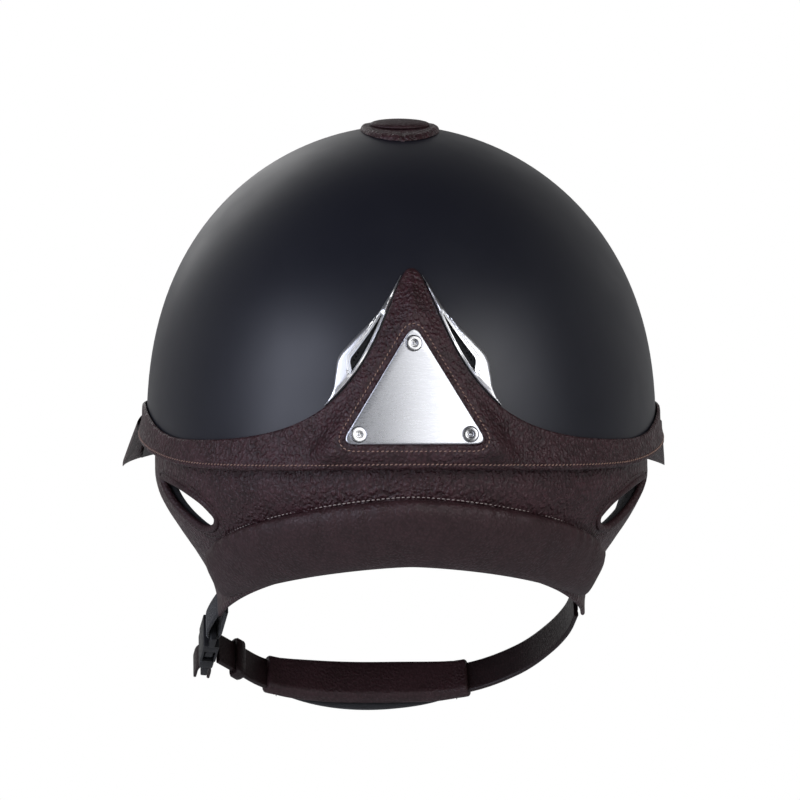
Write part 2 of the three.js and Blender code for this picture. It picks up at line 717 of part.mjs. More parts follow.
const socketBody = box(buckleSide, 0, BUCKLE.socket, buckleFace)
  .subtract(box(buckleSide - 1.6, -1, BUCKLE.socket - 2, 2.4))
  .subtract(box(buckleSide + 1, -1, 7, 2.4))
  .add(webFrame(BUCKLE.socket - 0.5, BUCKLE.socket + BUCKLE.frame));
addPiece('buckle_socket', onBuckle(socketBody), 'plastic');

const lowerFrame = webFrame(BUCKLE.plug, BUCKLE.plug + BUCKLE.frame).mirror([0, 1, 0]);
const plugBody = box(buckleSide, -BUCKLE.plug - 0.4, -0.4, buckleFace - 0.4)
  .add(box(1.6, -1, BUCKLE.tongue - 1, 1.5))
  .add(lowerFrame);
addPiece('buckle_plug', onBuckle(plugBody), 'plastic');

/** Springy side arm of the plug, with the pad that a finger squeezes. */
function arm(side) {
  const x = side * 5.6;
  const gripX = x + side * 1.4;
  const stalk = block([x - 1.1, 0, -1.9], [x + 1.1, BUCKLE.tongue - 1, 1.9]);
  const grip = block([gripX - 1.1, 2.4, -1.9], [gripX + 1.1, 6.2, 1.9]);
  return stalk.add(grip);
}
addPiece('buckle_arm_front', onBuckle(arm(1)), 'plastic');
addPiece('buckle_arm_rear', onBuckle(arm(-1)), 'plastic');

/** Doubled band around a bar: the band's far legs, the bar's clearance and its thickness. */
function loop(end, turn, halfThick, thick, width) {
  const outer = new THREE.Shape();
  const way = Math.sign(turn - end);
  const r = halfThick + thick;
  outer.moveTo(-r, end);
  outer.lineTo(-r, turn - way * r);
  outer.quadraticCurveTo(-r, turn, 0, turn);
  outer.quadraticCurveTo(r, turn, r, turn - way * r);
  outer.lineTo(r, end);
  outer.lineTo(halfThick, end);
  outer.lineTo(halfThick, turn - way * (thick + halfThick));
  outer.quadraticCurveTo(halfThick, turn - way * thick, 0, turn - way * thick);
  outer.quadraticCurveTo(-halfThick, turn - way * thick, -halfThick, turn - way * (thick + halfThick));
  outer.lineTo(-halfThick, end);
  const strip = new THREE.ExtrudeGeometry(outer, { depth: width, bevelEnabled: false, curveSegments: 6 });
  strip.rotateY(Math.PI / 2);
  strip.translate(-width / 2, 0, 0);
  return solid(strip);
}

const barTop = BUCKLE.socket + BUCKLE.frame - BUCKLE.bar;
addPiece('webbing_loop', onBuckle(loop(barTop + 18.5, barTop - 1.9, 2.3, 1.3, 12)), 'fabric');
const barLow = BUCKLE.bar - BUCKLE.plug - BUCKLE.frame;
addPiece('strap_fold', onBuckle(loop(barLow - 7, barLow + 1.8, 2.3, 1.3, 12.6)), 'darkLeather');

export default helmet;
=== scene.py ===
"""An equestrian riding helmet: its looks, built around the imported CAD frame.

Blender works in metres; the shapes below are worked out in millimetres, as the frame's were, and
mesh_object() turns them into metres. +Z is up, the peak points to -Y and the nape to +Y.
"""
import math

import bmesh
import bpy
import numpy as np
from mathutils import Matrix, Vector, noise
from mathutils.geometry import delaunay_2d_cdt


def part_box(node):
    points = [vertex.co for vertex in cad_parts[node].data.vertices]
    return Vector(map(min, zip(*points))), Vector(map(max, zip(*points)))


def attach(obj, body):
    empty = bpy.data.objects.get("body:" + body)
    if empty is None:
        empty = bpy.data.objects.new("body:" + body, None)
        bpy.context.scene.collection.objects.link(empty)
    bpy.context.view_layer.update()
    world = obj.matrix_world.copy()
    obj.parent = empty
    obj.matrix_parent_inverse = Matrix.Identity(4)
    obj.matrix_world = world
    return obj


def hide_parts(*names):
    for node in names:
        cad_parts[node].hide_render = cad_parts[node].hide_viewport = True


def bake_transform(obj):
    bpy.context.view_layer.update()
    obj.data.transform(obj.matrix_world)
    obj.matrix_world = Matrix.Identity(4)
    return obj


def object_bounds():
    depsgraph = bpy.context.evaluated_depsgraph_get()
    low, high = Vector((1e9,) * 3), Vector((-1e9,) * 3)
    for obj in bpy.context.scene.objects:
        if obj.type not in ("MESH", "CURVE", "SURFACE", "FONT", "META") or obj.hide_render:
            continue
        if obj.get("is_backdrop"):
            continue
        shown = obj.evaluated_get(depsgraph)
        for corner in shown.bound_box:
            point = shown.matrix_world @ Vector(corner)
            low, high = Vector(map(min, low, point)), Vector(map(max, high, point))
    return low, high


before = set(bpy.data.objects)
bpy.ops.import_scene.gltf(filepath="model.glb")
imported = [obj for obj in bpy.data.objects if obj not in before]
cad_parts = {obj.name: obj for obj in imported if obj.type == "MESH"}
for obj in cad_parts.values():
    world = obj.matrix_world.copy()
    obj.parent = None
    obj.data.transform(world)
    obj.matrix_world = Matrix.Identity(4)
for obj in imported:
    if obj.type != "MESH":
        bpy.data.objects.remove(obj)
cad_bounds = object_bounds()

MM = 0.001
DEG = math.pi / 180


def edges_mm(node):
    """Lowest and highest corner of a CAD node, in millimetres."""
    low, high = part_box(node)
    return np.array(low) / MM, np.array(high) / MM


# ---------- driving sizes, in millimetres ----------

shell_low, shell_high = edges_mm("outer_shell")
RIM_CENTRE = 20.0  # the oval's centre at the rim, and how far forward it is at the crown
CROWN_CENTRE = -8.0
BASE = 11.0  # the dome starts here; the wall is upright below it
HALF_WIDTH = shell_high[0]
REAR_LENGTH = shell_high[1] - RIM_CENTRE
FRONT_LENGTH = RIM_CENTRE - shell_low[1]
DOME_HEIGHT = shell_high[2] - BASE
SHELL_WALL = 3.0
DOME_POWER = 2.4
CROWN_POWER = 1.91

TRIM_HEIGHT = 10.8
TRIM_LOW = 1.2  # the trim's lower edge at the nape
TRIM_CLIMB = 16.8  # and how much higher that edge is at the brow
TRIANGLE = {"rise": 92, "spread": 20.6, "tip": 63.5, "power": 2.6}
SKIRT_HALF_WIDTH = HALF_WIDTH - 3.7
SKIRT_REAR = REAR_LENGTH - 3.6
SKIRT_FRONT = FRONT_LENGTH - 3.6
SKIRT_TAPER = 27 / 107  # how much narrower the skirt is at its foot than at the rim
HARNESS_THICK = 2.0
GAP = 0.3

PLATE = {"width": 61.2, "height": 50.0, "thick": 1.8, "corner": 6.0, "low": 11.6, "depth": 142.0}
PLATE_TILT = 12.5 * DEG
PLATE_BOW = 300.0  # radius of the plate's slight bend round the nape

STRAP_SLOPE = 50 * DEG
STRAP_START = np.array([0.0, 14.0, -68.0])
STRAP_WIDTH = 15.5
STRAP_THICK = 2.0
TAB = (19.0, -60.0)


def ease(x, low, high):
    t = np.clip((x - low) / (high - low), 0, 1)
    return t * t * (3 - 2 * t)


def mix(a, b, share):
    return a + (b - a) * share


def stack(*columns):
    return np.stack(np.broadcast_arrays(*columns), axis=-1)


def unit(vectors):
    return vectors / np.linalg.norm(vectors, axis=-1, keepdims=True)


def bell(x, middle, width):
    """A smooth bump that is 1 at the middle."""
    return np.exp(-(((x - middle) / width) ** 2))


def edge_round(distance, radius):
    """How far a rounded edge has risen, from 0 at the edge to 1 a radius inside it."""
    return np.sqrt(1 - (1 - np.clip(distance / radius, 0, 1)) ** 2)


def around(count):
    """Even angles round a full turn."""
    return np.linspace(0, 2 * math.pi, count, endpoint=False)


# ---------- surfaces of the helmet ----------


def dome_profile(rise):
    """Height and breadth of the dome at a rise, and its centre's place along Y."""
    t = np.sin(rise) ** (2 / DOME_POWER)
    w = np.maximum(np.cos(rise), 0) ** (2 / CROWN_POWER)
    return t, w, mix(RIM_CENTRE, CROWN_CENTRE, t * t)


def dome_point(angle, rise, offset):
    """Point of the dome at an angle from the nape and a rise from the base to the crown."""
    t, w, centre = dome_profile(rise)
    length = np.where(np.cos(angle) > 0, REAR_LENGTH, FRONT_LENGTH) + offset
    return stack(
        (HALF_WIDTH + offset) * np.sin(angle) * w,
        centre + length * np.cos(angle) * w,
        BASE + (DOME_HEIGHT + offset) * t,
    )


def rise_at(z, offset=0.0):
    t = np.clip((z - BASE) / (DOME_HEIGHT + offset), 0, 1)
    return np.arcsin(t ** (DOME_POWER / 2))


def wall_point(angle, z, offset=0.0):
    """Point of the shell's face at an angle from the nape and a height."""
    point = dome_point(angle, rise_at(z, offset), offset)
    point[..., 2] = z
    return point


def dome_depth(x, z, offset, sign):
    """How far back (sign 1) or forward (sign -1) the dome's face is, seen from behind at x, z."""
    _, w, centre = dome_profile(rise_at(z, offset))
    length = (REAR_LENGTH if sign > 0 else FRONT_LENGTH) + offset
    return centre + sign * length * np.sqrt(np.maximum(w * w - (x / (HALF_WIDTH + offset)) ** 2, 0))


def dome_top(x, y, offset=0.0):
    """Height of the dome's face near the crown at x, y."""
    t = np.ones_like(x)
    for _ in range(12):
        centre = mix(RIM_CENTRE, CROWN_CENTRE, t * t)
        length = np.where(y > centre, REAR_LENGTH, FRONT_LENGTH) + offset
        w = np.sqrt((x / (HALF_WIDTH + offset)) ** 2 + ((y - centre) / length) ** 2)
        lean = np.clip(w ** (CROWN_POWER / 2), 0, 1)
        t = np.sqrt(1 - lean**2) ** (2 / DOME_POWER)
    return BASE + (DOME_HEIGHT + offset) * t


def trim_dip(angle):
    """How far the trim dips beside the nape."""
    turn = np.abs(angle) / DEG
    return np.where(turn < 90, 1.5 * np.sin(2 * angle) ** 2, 0)


def trim_low(angle):
    """Lower edge of the trim: lowest at the nape, higher over the ears and the brow."""
    return TRIM_LOW + TRIM_CLIMB * ease(np.abs(angle) / DEG, 50, 130) - trim_dip(angle)


def triangle_rise(x):
    """Height of the leather triangle's edge above the trim, across from the middle plane."""
    power = TRIANGLE["power"]
    along = (np.abs(x) ** power + TRIANGLE["tip"]) ** (1 / power)
    return TRIANGLE["rise"] * np.exp(-along / TRIANGLE["spread"])


def trim_high(angle):
    """Upper edge of the trim, which climbs to the tip of the triangle at the nape."""
    turn = np.abs(angle) / DEG
    climb = 13.3 * ease(turn, 56, 94) ** 1.35 + 5 * ease(turn, 110, 170)
    band = TRIM_LOW + TRIM_HEIGHT + climb - trim_dip(angle)
    high = band.copy()
    for _ in range(24):
        rise = triangle_rise(wall_point(angle, high)[..., 0])
        high = mix(high, band + rise, 0.4)
    return np.where(turn > 88, band, high)


def outside_plate(x, z):
    """How far a point is outside the plate's outline, seen from behind."""
    lean = math.atan2(PLATE["width"] / 2, PLATE["height"])
    side = (np.abs(x) - PLATE["width"] / 2) * math.cos(lean) + (z - PLATE["low"]) * math.sin(lean)
    below = PLATE["low"] - z
    corner = np.hypot(np.maximum(below, 0), np.maximum(side, 0))
    return np.where((below > 0) & (side > 0), corner, np.maximum(below, side))


def seat_depth(x, z):
    """Depth of the seat that the plate lies on."""
    return PLATE["depth"] - (z - PLATE["low"]) * math.tan(PLATE_TILT) - x * x / (2 * PLATE_BOW)


def skirt_shrink(z):
    """Breadth of the harness skirt at a height, as a share of its breadth at the rim."""
    return 1 - SKIRT_TAPER * ease(-z, 4, 62)


def skirt_point(angle, z, offset):
    """Outer face of the harness skirt at an angle from the nape and a height."""
    shrink = skirt_shrink(z)
    length = np.where(np.cos(angle) > 0, SKIRT_REAR, SKIRT_FRONT)
    return stack(
        (SKIRT_HALF_WIDTH * shrink + offset) * np.sin(angle),
        RIM_CENTRE + (length * shrink + offset) * np.cos(angle),
        z,
    )


# ---------- meshes ----------


def mesh_object(name, points, faces, material, smooth=40):
    """A new object from points in millimetres; edges sharper than smooth degrees stay crisp."""
    mesh = bpy.data.meshes.new(name)
    mesh.from_pydata((np.asarray(points, float).reshape(-1, 3) * MM).tolist(), [], faces)
    mesh.validate()
    obj = bpy.data.objects.new(name, mesh)
    bpy.context.scene.collection.objects.link(obj)
    tidy = bmesh.new()
    tidy.from_mesh(mesh)
    bmesh.ops.remove_doubles(tidy, verts=tidy.verts, dist=1e-6)
    bmesh.ops.recalc_face_normals(tidy, faces=tidy.faces)
    tidy.to_mesh(mesh)
    tidy.free()
    finish_shading(obj, smooth)
    mesh.materials.append(material)
    return obj


def finish_shading(obj, smooth):
    obj.data.shade_smooth()
    obj.data.set_sharp_from_angle(angle=math.radians(smooth))


def strips(rows, columns, wrap_rows, wrap_columns, start=0):
    """Quads of a grid whose points run column by column."""
    faces = []
    for i in range(columns if wrap_columns else columns - 1):
        for j in range(rows if wrap_rows else rows - 1):
            a, b = i * rows + j, i * rows + (j + 1) % rows
            c, d = ((i + 1) % columns) * rows + (j + 1) % rows, ((i + 1) % columns) * rows + j
            faces.append((start + a, start + b, start + c, start + d))
    return faces


def ring_of_sections(name, sections, material, smooth=40):
    """A closed ring of closed sections: points are (columns, rows, 3)."""
    columns, rows = sections.shape[:2]
    return mesh_object(name, sections, strips(rows, columns, True, True), material, smooth)


def loft(name, sections, material, smooth=40):
    """A run of closed sections with a cap at either end: points are (columns, rows, 3)."""
    columns, rows = sections.shape[:2]
    faces = strips(rows, columns, True, False)
    faces += [tuple(range(rows)), tuple(range(columns * rows - 1, (columns - 1) * rows - 1, -1))]
    return mesh_object(name, sections, faces, material, smooth)


def turned(name, profile, sides, place, material, smooth=35):
    """A solid turned about an axis from (radius, height) pairs, put in place."""
    turn = around(sides)
    rows = [stack(r * np.cos(turn), r * np.sin(turn), np.full(sides, z)) for r, z in profile]
    return open_ring(name, place(np.stack(rows, axis=1)), material, smooth)


def open_ring(name, sections, material, smooth):
    """A solid whose first and last rows meet on its axis."""
    columns, rows = sections.shape[:2]
    return mesh_object(name, sections, strips(rows, columns, False, True), material, smooth)


def joined(name, parts):
    """One object from several, which it replaces."""
    with bpy.context.temp_override(
        active_object=parts[0], selected_editable_objects=parts, selected_objects=parts
    ):
        bpy.ops.object.join()
    parts[0].name = name
    return parts[0]


def bake_modifiers(obj, smooth):
    """Applies an object's modifiers to its mesh."""
    graph = bpy.context.evaluated_depsgraph_get()
    baked = bpy.data.meshes.new_from_object(obj.evaluated_get(graph))
    obj.modifiers.clear()
    obj.data = baked
    finish_shading(obj, smooth)
    return obj


def cut(obj, *cutters, smooth=40):
    """Cuts solids out of an object."""
    for cutter in cutters:
        hole = obj.modifiers.new("hole", "BOOLEAN")
        hole.operation = "DIFFERENCE"
        hole.solver = "EXACT"
        hole.object = cutter
    bake_modifiers(obj, smooth)
    for cutter in cutters:
        bpy.data.objects.remove(cutter)
    return obj


def rounded(obj, width):
    """Rounds an object's sharp edges."""
    bevel = obj.modifiers.new("bevel", "BEVEL")
    bevel.width = width * MM
    bevel.segments = 3
    bevel.limit_method = "ANGLE"
    return bake_modifiers(obj, 50)


def block(low, high, material, place):
    """A box between two corners, put in place."""
    (x0, y0, z0), (x1, y1, z1) = low, high
    ends = [[(x, y0, z0), (x, y0, z1), (x, y1, z1), (x, y1, z0)] for x in (x0, x1)]
    return loft("block", place(np.array(ends, float)), material)


def curve_through(points, step, closed=False):
    """Centripetal Catmull-Rom curve through points, resampled at an even step."""
    points = np.array(points, float)
    if closed:
        ends = np.vstack([points[-1:], points, points[:2]])
    else:
        ends = np.vstack([2 * points[0] - points[1], points, 2 * points[-1] - points[-2]])
    fine = []
    for i in range(1, len(ends) - 2):
        p0, p1, p2, p3 = ends[i - 1 : i + 3]
        t1, t2, t3 = np.cumsum([np.linalg.norm(b - a) ** 0.5 for a, b in ((p0, p1), (p1, p2), (p2, p3))])
        t = np.linspace(t1, t2, 60, endpoint=False)[:, None]
        a1 = (t1 - t) / t1 * p0 + t / t1 * p1
        a2 = (t2 - t) / (t2 - t1) * p1 + (t - t1) / (t2 - t1) * p2
        a3 = (t3 - t) / (t3 - t2) * p2 + (t - t2) / (t3 - t2) * p3
        b1 = (t2 - t) / t2 * a1 + t / t2 * a2
        b2 = (t3 - t) / (t3 - t1) * a2 + (t - t1) / (t3 - t1) * a3
        fine.append((t2 - t) / (t2 - t1) * b1 + (t - t1) / (t2 - t1) * b2)
    fine.append(ends[-2][None])
    return resampled(np.vstack(fine), step)[: -1 if closed else None]


def resampled(line, step):
    """The same line with points an even step apart, both ends included."""
    along = np.concatenate([[0], np.cumsum(np.linalg.norm(np.diff(line, axis=0), axis=1))])
    count = max(int(round(along[-1] / step)), 2) + 1
    at = np.linspace(0, along[-1], count)
    return np.stack([np.interp(at, along, line[:, k]) for k in range(line.shape[1])], axis=-1)


def closed_resampled(loop, step):
    return resampled(np.vstack([loop, loop[:1]]), step)[:-1]


# ---------- sheets cut to an outline ----------


def loop_sides(loop):
    """Unit vector square to a closed flat loop at each of its points."""
    run = np.roll(loop, -1, axis=0) - np.roll(loop, 1, axis=0)
    return unit(np.stack([run[:, 1], -run[:, 0]], -1))


def grown(loop, by):
    """A closed loop moved outward by a distance."""
    after = np.roll(loop, -1, axis=0)
    area = (loop[:, 0] * after[:, 1] - after[:, 0] * loop[:, 1]).sum()
    return loop + loop_sides(loop) * by * np.sign(area)


def circle(x, y, radius, count):
    turn = around(count)
    return np.stack([x + radius * np.cos(turn), y + radius * np.sin(turn)], -1)


def loop_distance(points, loop):
    """Distance from each flat point to a closed loop."""
    start, end = loop, np.roll(loop, -1, axis=0)
    run = end - start
    length = np.maximum((run**2).sum(1), 1e-12)
    best = np.full(len(points), np.inf)
    for first in range(0, len(points), 2000):
        some = points[first : first + 2000]
        share = np.clip(((some[:, None] - start) * run).sum(2) / length, 0, 1)
        apart = some[:, None] - start - share[..., None] * run
        best[first : first + 2000] = np.sqrt((apart**2).sum(2)).min(1)
    return best


def inside_loops(points, loops):
    """Whether each flat point is inside the outline and outside its holes."""
    crossings = np.zeros(len(points), int)
    for loop in loops:
        (x1, y1), (x2, y2) = loop.T, np.roll(loop, -1, axis=0).T
        px, py = points[:, :1], points[:, 1:]
        spans = (y1 > py) != (y2 > py)
        rise = np.where(y2 == y1, 1e-12, y2 - y1)
        crossings += (spans & (px < x1 + (py - y1) / rise * (x2 - x1))).sum(1)
    return crossings % 2 == 1


class Sheet:
    """A triangulated flat outline with holes, finer near its edges."""

    def __init__(self, loops, spacing, rings):
        self.loops = loops
        points = [*loops]
        low, high = loops[0].min(0), loops[0].max(0)
        for ring in rings:
            for loop in loops:
                for way in (ring, -ring):
                    moved = loop + loop_sides(loop) * way
                    points.append(moved[self.clear(moved, 0.85 * ring)])
        x, y = np.meshgrid(np.arange(low[0], high[0], spacing), np.arange(low[1], high[1], spacing * 0.87))
        x[1::2] += spacing / 2
        field = np.stack([x.ravel(), y.ravel()], -1)
        points.append(field[self.clear(field, (rings[-1] if rings else 0) + spacing * 0.45)])
        edges, first = [], 0
        for loop in loops:
            edges += [(first + i, first + (i + 1) % len(loop)) for i in range(len(loop))]
            first += len(loop)
        flat = [Vector(p) for p in np.vstack(points)]
        flat, _, faces, *_ = delaunay_2d_cdt(flat, edges, [], 0, 1e-5)
        self.flat = np.array([tuple(p) for p in flat])
        faces = np.array(faces)
        middles = self.flat[faces].mean(1)
        self.faces = faces[inside_loops(middles, loops)]
        self.apart = np.stack([loop_distance(self.flat, loop) for loop in loops], -1)
        self.edge = self.apart.min(1)

    def clear(self, points, distance):
        inside = inside_loops(points, self.loops)
        near = np.stack([loop_distance(points, loop) for loop in self.loops], -1).min(1)
        return inside & (near >= distance)

    def solid(self, name, top, bottom, material, smooth):
        """Closed solid between two placings of the sheet's points."""
        count = len(self.flat)
        points = np.vstack([top, bottom])
        faces = [tuple(face) for face in self.faces.tolist()]
        edges = {edge for a, b, c in faces for edge in ((a, b), (b, c), (c, a))}
        faces += [tuple(count + i for i in reversed(face)) for face in faces]
        faces += [(b, a, count + a, count + b) for a, b in sorted(edges) if (b, a) not in edges]
        return mesh_object(name, points, faces, material, smooth)


# ---------- threads ----------


def stitches(name, path, outward, material, pitch=2.1, length=1.55, radius=0.26, slant=0.0, lift=0.05):
    """Sewn stitches along a path on a surface, one small capsule each."""
    both = resampled(np.hstack([path, outward]), pitch)
    middle, out = both[:, :3], both[:, 3:]
    out = unit(out)
    along = np.gradient(middle, axis=0)
    along = unit(along - out * (along * out).sum(1, keepdims=True))
    side = np.cross(out, along)
    sine, cosine = math.sin(slant), math.cos(slant)
    along, side = along * cosine + side * sine, side * cosine - along * sine
    sides, shares = 6, np.array([-1, -0.86, -0.45, 0, 0.45, 0.86, 1])
    thick = np.sqrt(np.maximum(1 - np.abs(shares) ** 3.2, 0.02))
    ring = around(sides)
    points, faces = [], []
    for centre, a, s, o in zip(middle, along, side, out):
        start = len(points) * sides * len(shares)
        arch = (lift * radius / 0.26 - 0.16 * np.abs(shares) ** 2.5)[:, None, None]
        spine = centre + (shares * length / 2)[:, None, None] * a + arch * o
        tube = spine + (thick * radius)[:, None, None] * (
            np.cos(ring)[None, :, None] * s + np.sin(ring)[None, :, None] * o
        )
        points.append(tube.reshape(-1, 3))
        faces += strips(sides, len(shares), True, False, start)
        faces.append(tuple(start + i for i in range(sides)))
        faces.append(tuple(start + (len(shares) - 1) * sides + i for i in reversed(range(sides))))
    return mesh_object(name, np.vstack(points), faces, material)


def ripple(points, scale, seed=0.0):
    """Smooth noise from -1 to 1 at points, with a size in millimetres."""
    shift = Vector((seed, 2 * seed, -seed))
    flat = np.asarray(points).reshape(-1, 3) / scale
    return np.array([noise.noise(Vector(p) + shift) for p in flat]).reshape(np.shape(points)[:-1])


# ---------- materials ----------


class Nodes:
    """Short ways to add nodes to a tree."""

    def __init__(self, tree):
        self.tree = tree

    def node(self, kind, settings=None, **inputs):
        made = self.tree.nodes.new(kind)
        for key, value in (settings or {}).items():
            setattr(made, key, value)
        for key, value in inputs.items():
            self.put(made.inputs[key.replace("_", " ")], value)
        return made

    def put(self, socket, value):
        if isinstance(value, bpy.types.NodeSocket):
            self.tree.links.new(value, socket)
        else:
            socket.default_value = value

    def math(self, operation, *values):
        made = self.node("ShaderNodeMath", {"operation": operation})
        for socket, value in zip(made.inputs, values):
            self.put(socket, value)
        return made.outputs[0]

    def ramp(self, value, low, high, to_low=0.0, to_high=1.0):
        limits = {"From_Min": low, "From_Max": high, "To_Min": to_low, "To_Max": to_high}
        made = self.node("ShaderNodeMapRange", {"interpolation_type": "SMOOTHSTEP"}, Value=value, **limits)
        return made.outputs[0]


class Look(Nodes):
    """A procedural material: constants on the shader's own sockets, patterns from nodes."""

    def __init__(self, name, color, roughness, **constants):
        self.material = bpy.data.materials.new(name)
        self.material.use_nodes = True
        super().__init__(self.material.node_tree)
        self.shader = self.tree.nodes["Principled BSDF"]
        for socket, value in {"Base Color": (*color, 1), "Roughness": roughness, **constants}.items():
            self.shader.inputs[socket.replace("_", " ")].default_value = value
        self.place = self.node("ShaderNodeTexCoord").outputs["Object"]

    def pattern(self, kind, size, place=None, settings=None, **inputs):
        """A texture whose features have a size in millimetres."""
        return self.node(kind, settings, Vector=place or self.place, Scale=1 / (size * MM), **inputs)

    def noise(self, size, detail=3.0, place=None):
        return self.pattern("ShaderNodeTexNoise", size, place, Detail=detail).outputs["Fac"]

    def cells(self, size, feature="F1", place=None):
        return self.pattern("ShaderNodeTexVoronoi", size, place, {"feature": feature}).outputs["Distance"]

    def stretched(self, x, y, z):
        return self.node("ShaderNodeMapping", Vector=self.place, Scale=(x, y, z)).outputs[0]

    def color(self, share, dark, light):
        """Blends the colour between two by a share."""
        made = self.node("ShaderNodeMix", {"data_type": "RGBA"})
        for index, value in ((0, share), (6, (*dark, 1)), (7, (*light, 1))):
            self.put(made.inputs[index], value)
        self.put(self.shader.inputs["Base Color"], made.outputs[2])

    def rough(self, value, low, high):
        """Roughness that follows a pattern's middle values between two limits."""
        self.put(self.shader.inputs["Roughness"], self.ramp(value, 0.3, 0.7, low, high))

    def bump(self, height, depth):
        """Relief of a depth in millimetres."""
        made = self.node("ShaderNodeBump", Height=height, Distance=depth * MM, Strength=1.0)
        self.put(self.shader.inputs["Normal"], made.outputs[0])


def leather(name, dark, light, grain, depth, rough):
    """Grained leather: pebbles parted by fine creases, deeper in some places than in others."""
    look = Look(name, light, rough[0], Specular_IOR_Level=0.42)
    drift = look.pattern("ShaderNodeTexNoise", 2.4, Detail=2.0).outputs["Color"]
    shifted = look.node("ShaderNodeVectorMath", {"operation": "MULTIPLY_ADD"}, Vector=drift)
    look.put(shifted.inputs[1], (grain * 0.7 * MM,) * 3)
    look.put(shifted.inputs[2], look.stretched(1.0, 1.0, 0.8))
    pebbles = look.ramp(look.cells(grain, "SMOOTH_F1", shifted.outputs[0]), 0.62, 0.12)
    creases = look.ramp(look.cells(grain * 1.6, "DISTANCE_TO_EDGE", shifted.outputs[0]), 0.0, 0.2)
    pores = look.noise(0.35, 2.0)
    patches = look.ramp(look.noise(20, 2.0), 0.3, 0.62, 0.4, 1.0)
    relief = look.math("MULTIPLY", pebbles, patches)
    height = look.math("MULTIPLY_ADD", creases, 0.2, relief)
    look.bump(look.math("ADD", height, look.math("MULTIPLY", pores, 0.15)), depth)
    # colour painted lighter on the pebble tops (painted highlight) and darker in the creases (painted shade)
    grain_tone_and_painted_light = look.math("MULTIPLY_ADD", pebbles, 0.4, look.math("MULTIPLY", creases, 0.25))
    # plus a tone that varies at random over the hide
    grain_tone_and_painted_light = look.math("ADD", grain_tone_and_painted_light, look.ramp(look.noise(9, 4.0), 0.25, 0.75, -0.1, 0.3))
    look.color(grain_tone_and_painted_light, dark, light)
    polish = look.ramp(look.math("ADD", pores, relief), 0.4, 1.5, rough[1], rough[0])
    look.put(look.shader.inputs["Roughness"], polish)
    return look.material


def shell_paint():
    look = Look("shell_matt_black", (0.0120, 0.0126, 0.0195), 0.42, Specular_IOR_Level=0.6)
    look.rough(look.noise(30), 0.4, 0.45)
    look.bump(look.math("ADD", look.noise(0.5, 2.0), look.noise(3.0, 1.0)), 0.006)
    return look.material


def chrome():
    look = Look("polished_chrome", (0.97, 0.972, 0.98), 0.36, Metallic=1.0)
    look.rough(look.noise(1.5, 4.0), 0.34, 0.4)
    look.bump(look.noise(4.0, 2.0), 0.004)
    return look.material


def satin_metal(name, color, rough):
    """Brushed metal: fine lines run across it."""
    look = Look(name, color, rough[0], Metallic=1.0)
    brushed = look.noise(0.12, 2.0, look.stretched(0.02, 1.0, 1.0))
    look.rough(brushed, *rough)
    look.bump(brushed, 0.0006)
    return look.material


def moulded_plastic():
    look = Look("moulded_plastic", (0.014, 0.014, 0.016), 0.42, Specular_IOR_Level=0.5)
    look.rough(look.noise(2.0, 4.0), 0.36, 0.52)
    look.bump(look.cells(0.35), 0.012)
    return look.material


def woven(name, dark, light, size, depth):
    """Plain weave: two sets of threads that pass over and under."""
    look = Look(name, light, 0.85, Sheen_Weight=0.25, Sheen_Roughness=0.5)
    waves = []
    for direction in ("X", "Z"):
        settings = {"bands_direction": direction}
        wave = look.pattern("ShaderNodeTexWave", size / 0.31, None, settings, Distortion=0.6, Detail=1.0)
        waves.append(wave.outputs["Fac"])
    weave = look.math("MAXIMUM", waves[0], look.math("SUBTRACT", 1.0, waves[1]))
    fibres = look.noise(0.25)
    look.bump(look.math("MULTIPLY_ADD", fibres, 0.4, weave), depth)
    look.color(look.math("MULTIPLY_ADD", fibres, 0.4, look.math("MULTIPLY", weave, 0.5)), dark, light)
    return look.material


def bead_foam():
    """Moulded bead foam: small pressed cells."""
    look = Look("bead_foam", (0.02, 0.02, 0.022), 0.8)
    look.bump(look.ramp(look.cells(3.2, "DISTANCE_TO_EDGE"), 0.0, 0.12), 0.12)
    look.color(look.noise(5), (0.012, 0.012, 0.014), (0.03, 0.03, 0.034))
    return look.material


def thread(name, color):
    look = Look(name, color, 0.7, Sheen_Weight=0.3)
    twist = look.noise(0.3, 2.0)
    look.bump(twist, 0.05)
    look.color(look.ramp(twist, 0.3, 0.7), tuple(0.55 * c for c in color), color)
    return look.material


def pale_floor():
    look = Look("pale_floor", (0.86, 0.86, 0.86), 0.7)
    look.rough(look.noise(60), 0.66, 0.74)
    look.bump(look.noise(2.0, 2.0), 0.02)
    return look.material


BROWN = leather("brown_leather", (0.021, 0.0068, 0.008), (0.072, 0.0275, 0.034), 1.35, 0.56, (0.30, 0.50))
SMOOTH_BROWN = leather(
    "smooth_brown_leather", (0.024, 0.0088, 0.0098), (0.052, 0.0215, 0.025), 1.1, 0.2, (0.42, 0.58)
)
DARK_LEATHER = leather(
    "dark_strap_leather", (0.012, 0.0055, 0.006), (0.028, 0.0135, 0.0145), 0.9, 0.06, (0.36, 0.5)
)
SHELL_BLACK = shell_paint()
CHROME = chrome()
SATIN = satin_metal("satin_metal", (0.68, 0.69, 0.73), (0.26, 0.34))
STEEL = satin_metal("screw_steel", (0.62, 0.62, 0.64), (0.18, 0.28))
PLASTIC = moulded_plastic()
WEBBING = woven("black_webbing", (0.006, 0.006, 0.007), (0.022, 0.022, 0.025), 0.9, 0.18)
LINER_CLOTH = woven("liner_cloth", (0.006, 0.006, 0.007), (0.020, 0.020, 0.023), 0.7, 0.10)
MESH_BLACK = woven("vent_mesh_black", (0.006, 0.006, 0.007), (0.016, 0.016, 0.018), 0.6, 0.05)
FOAM = bead_foam()
TAN_THREAD = thread("tan_thread", (0.42, 0.25, 0.19))
PALE_THREAD = thread("pale_thread", (0.55, 0.46, 0.43))
DARK_THREAD = thread("dark_thread", (0.05, 0.028, 0.02))


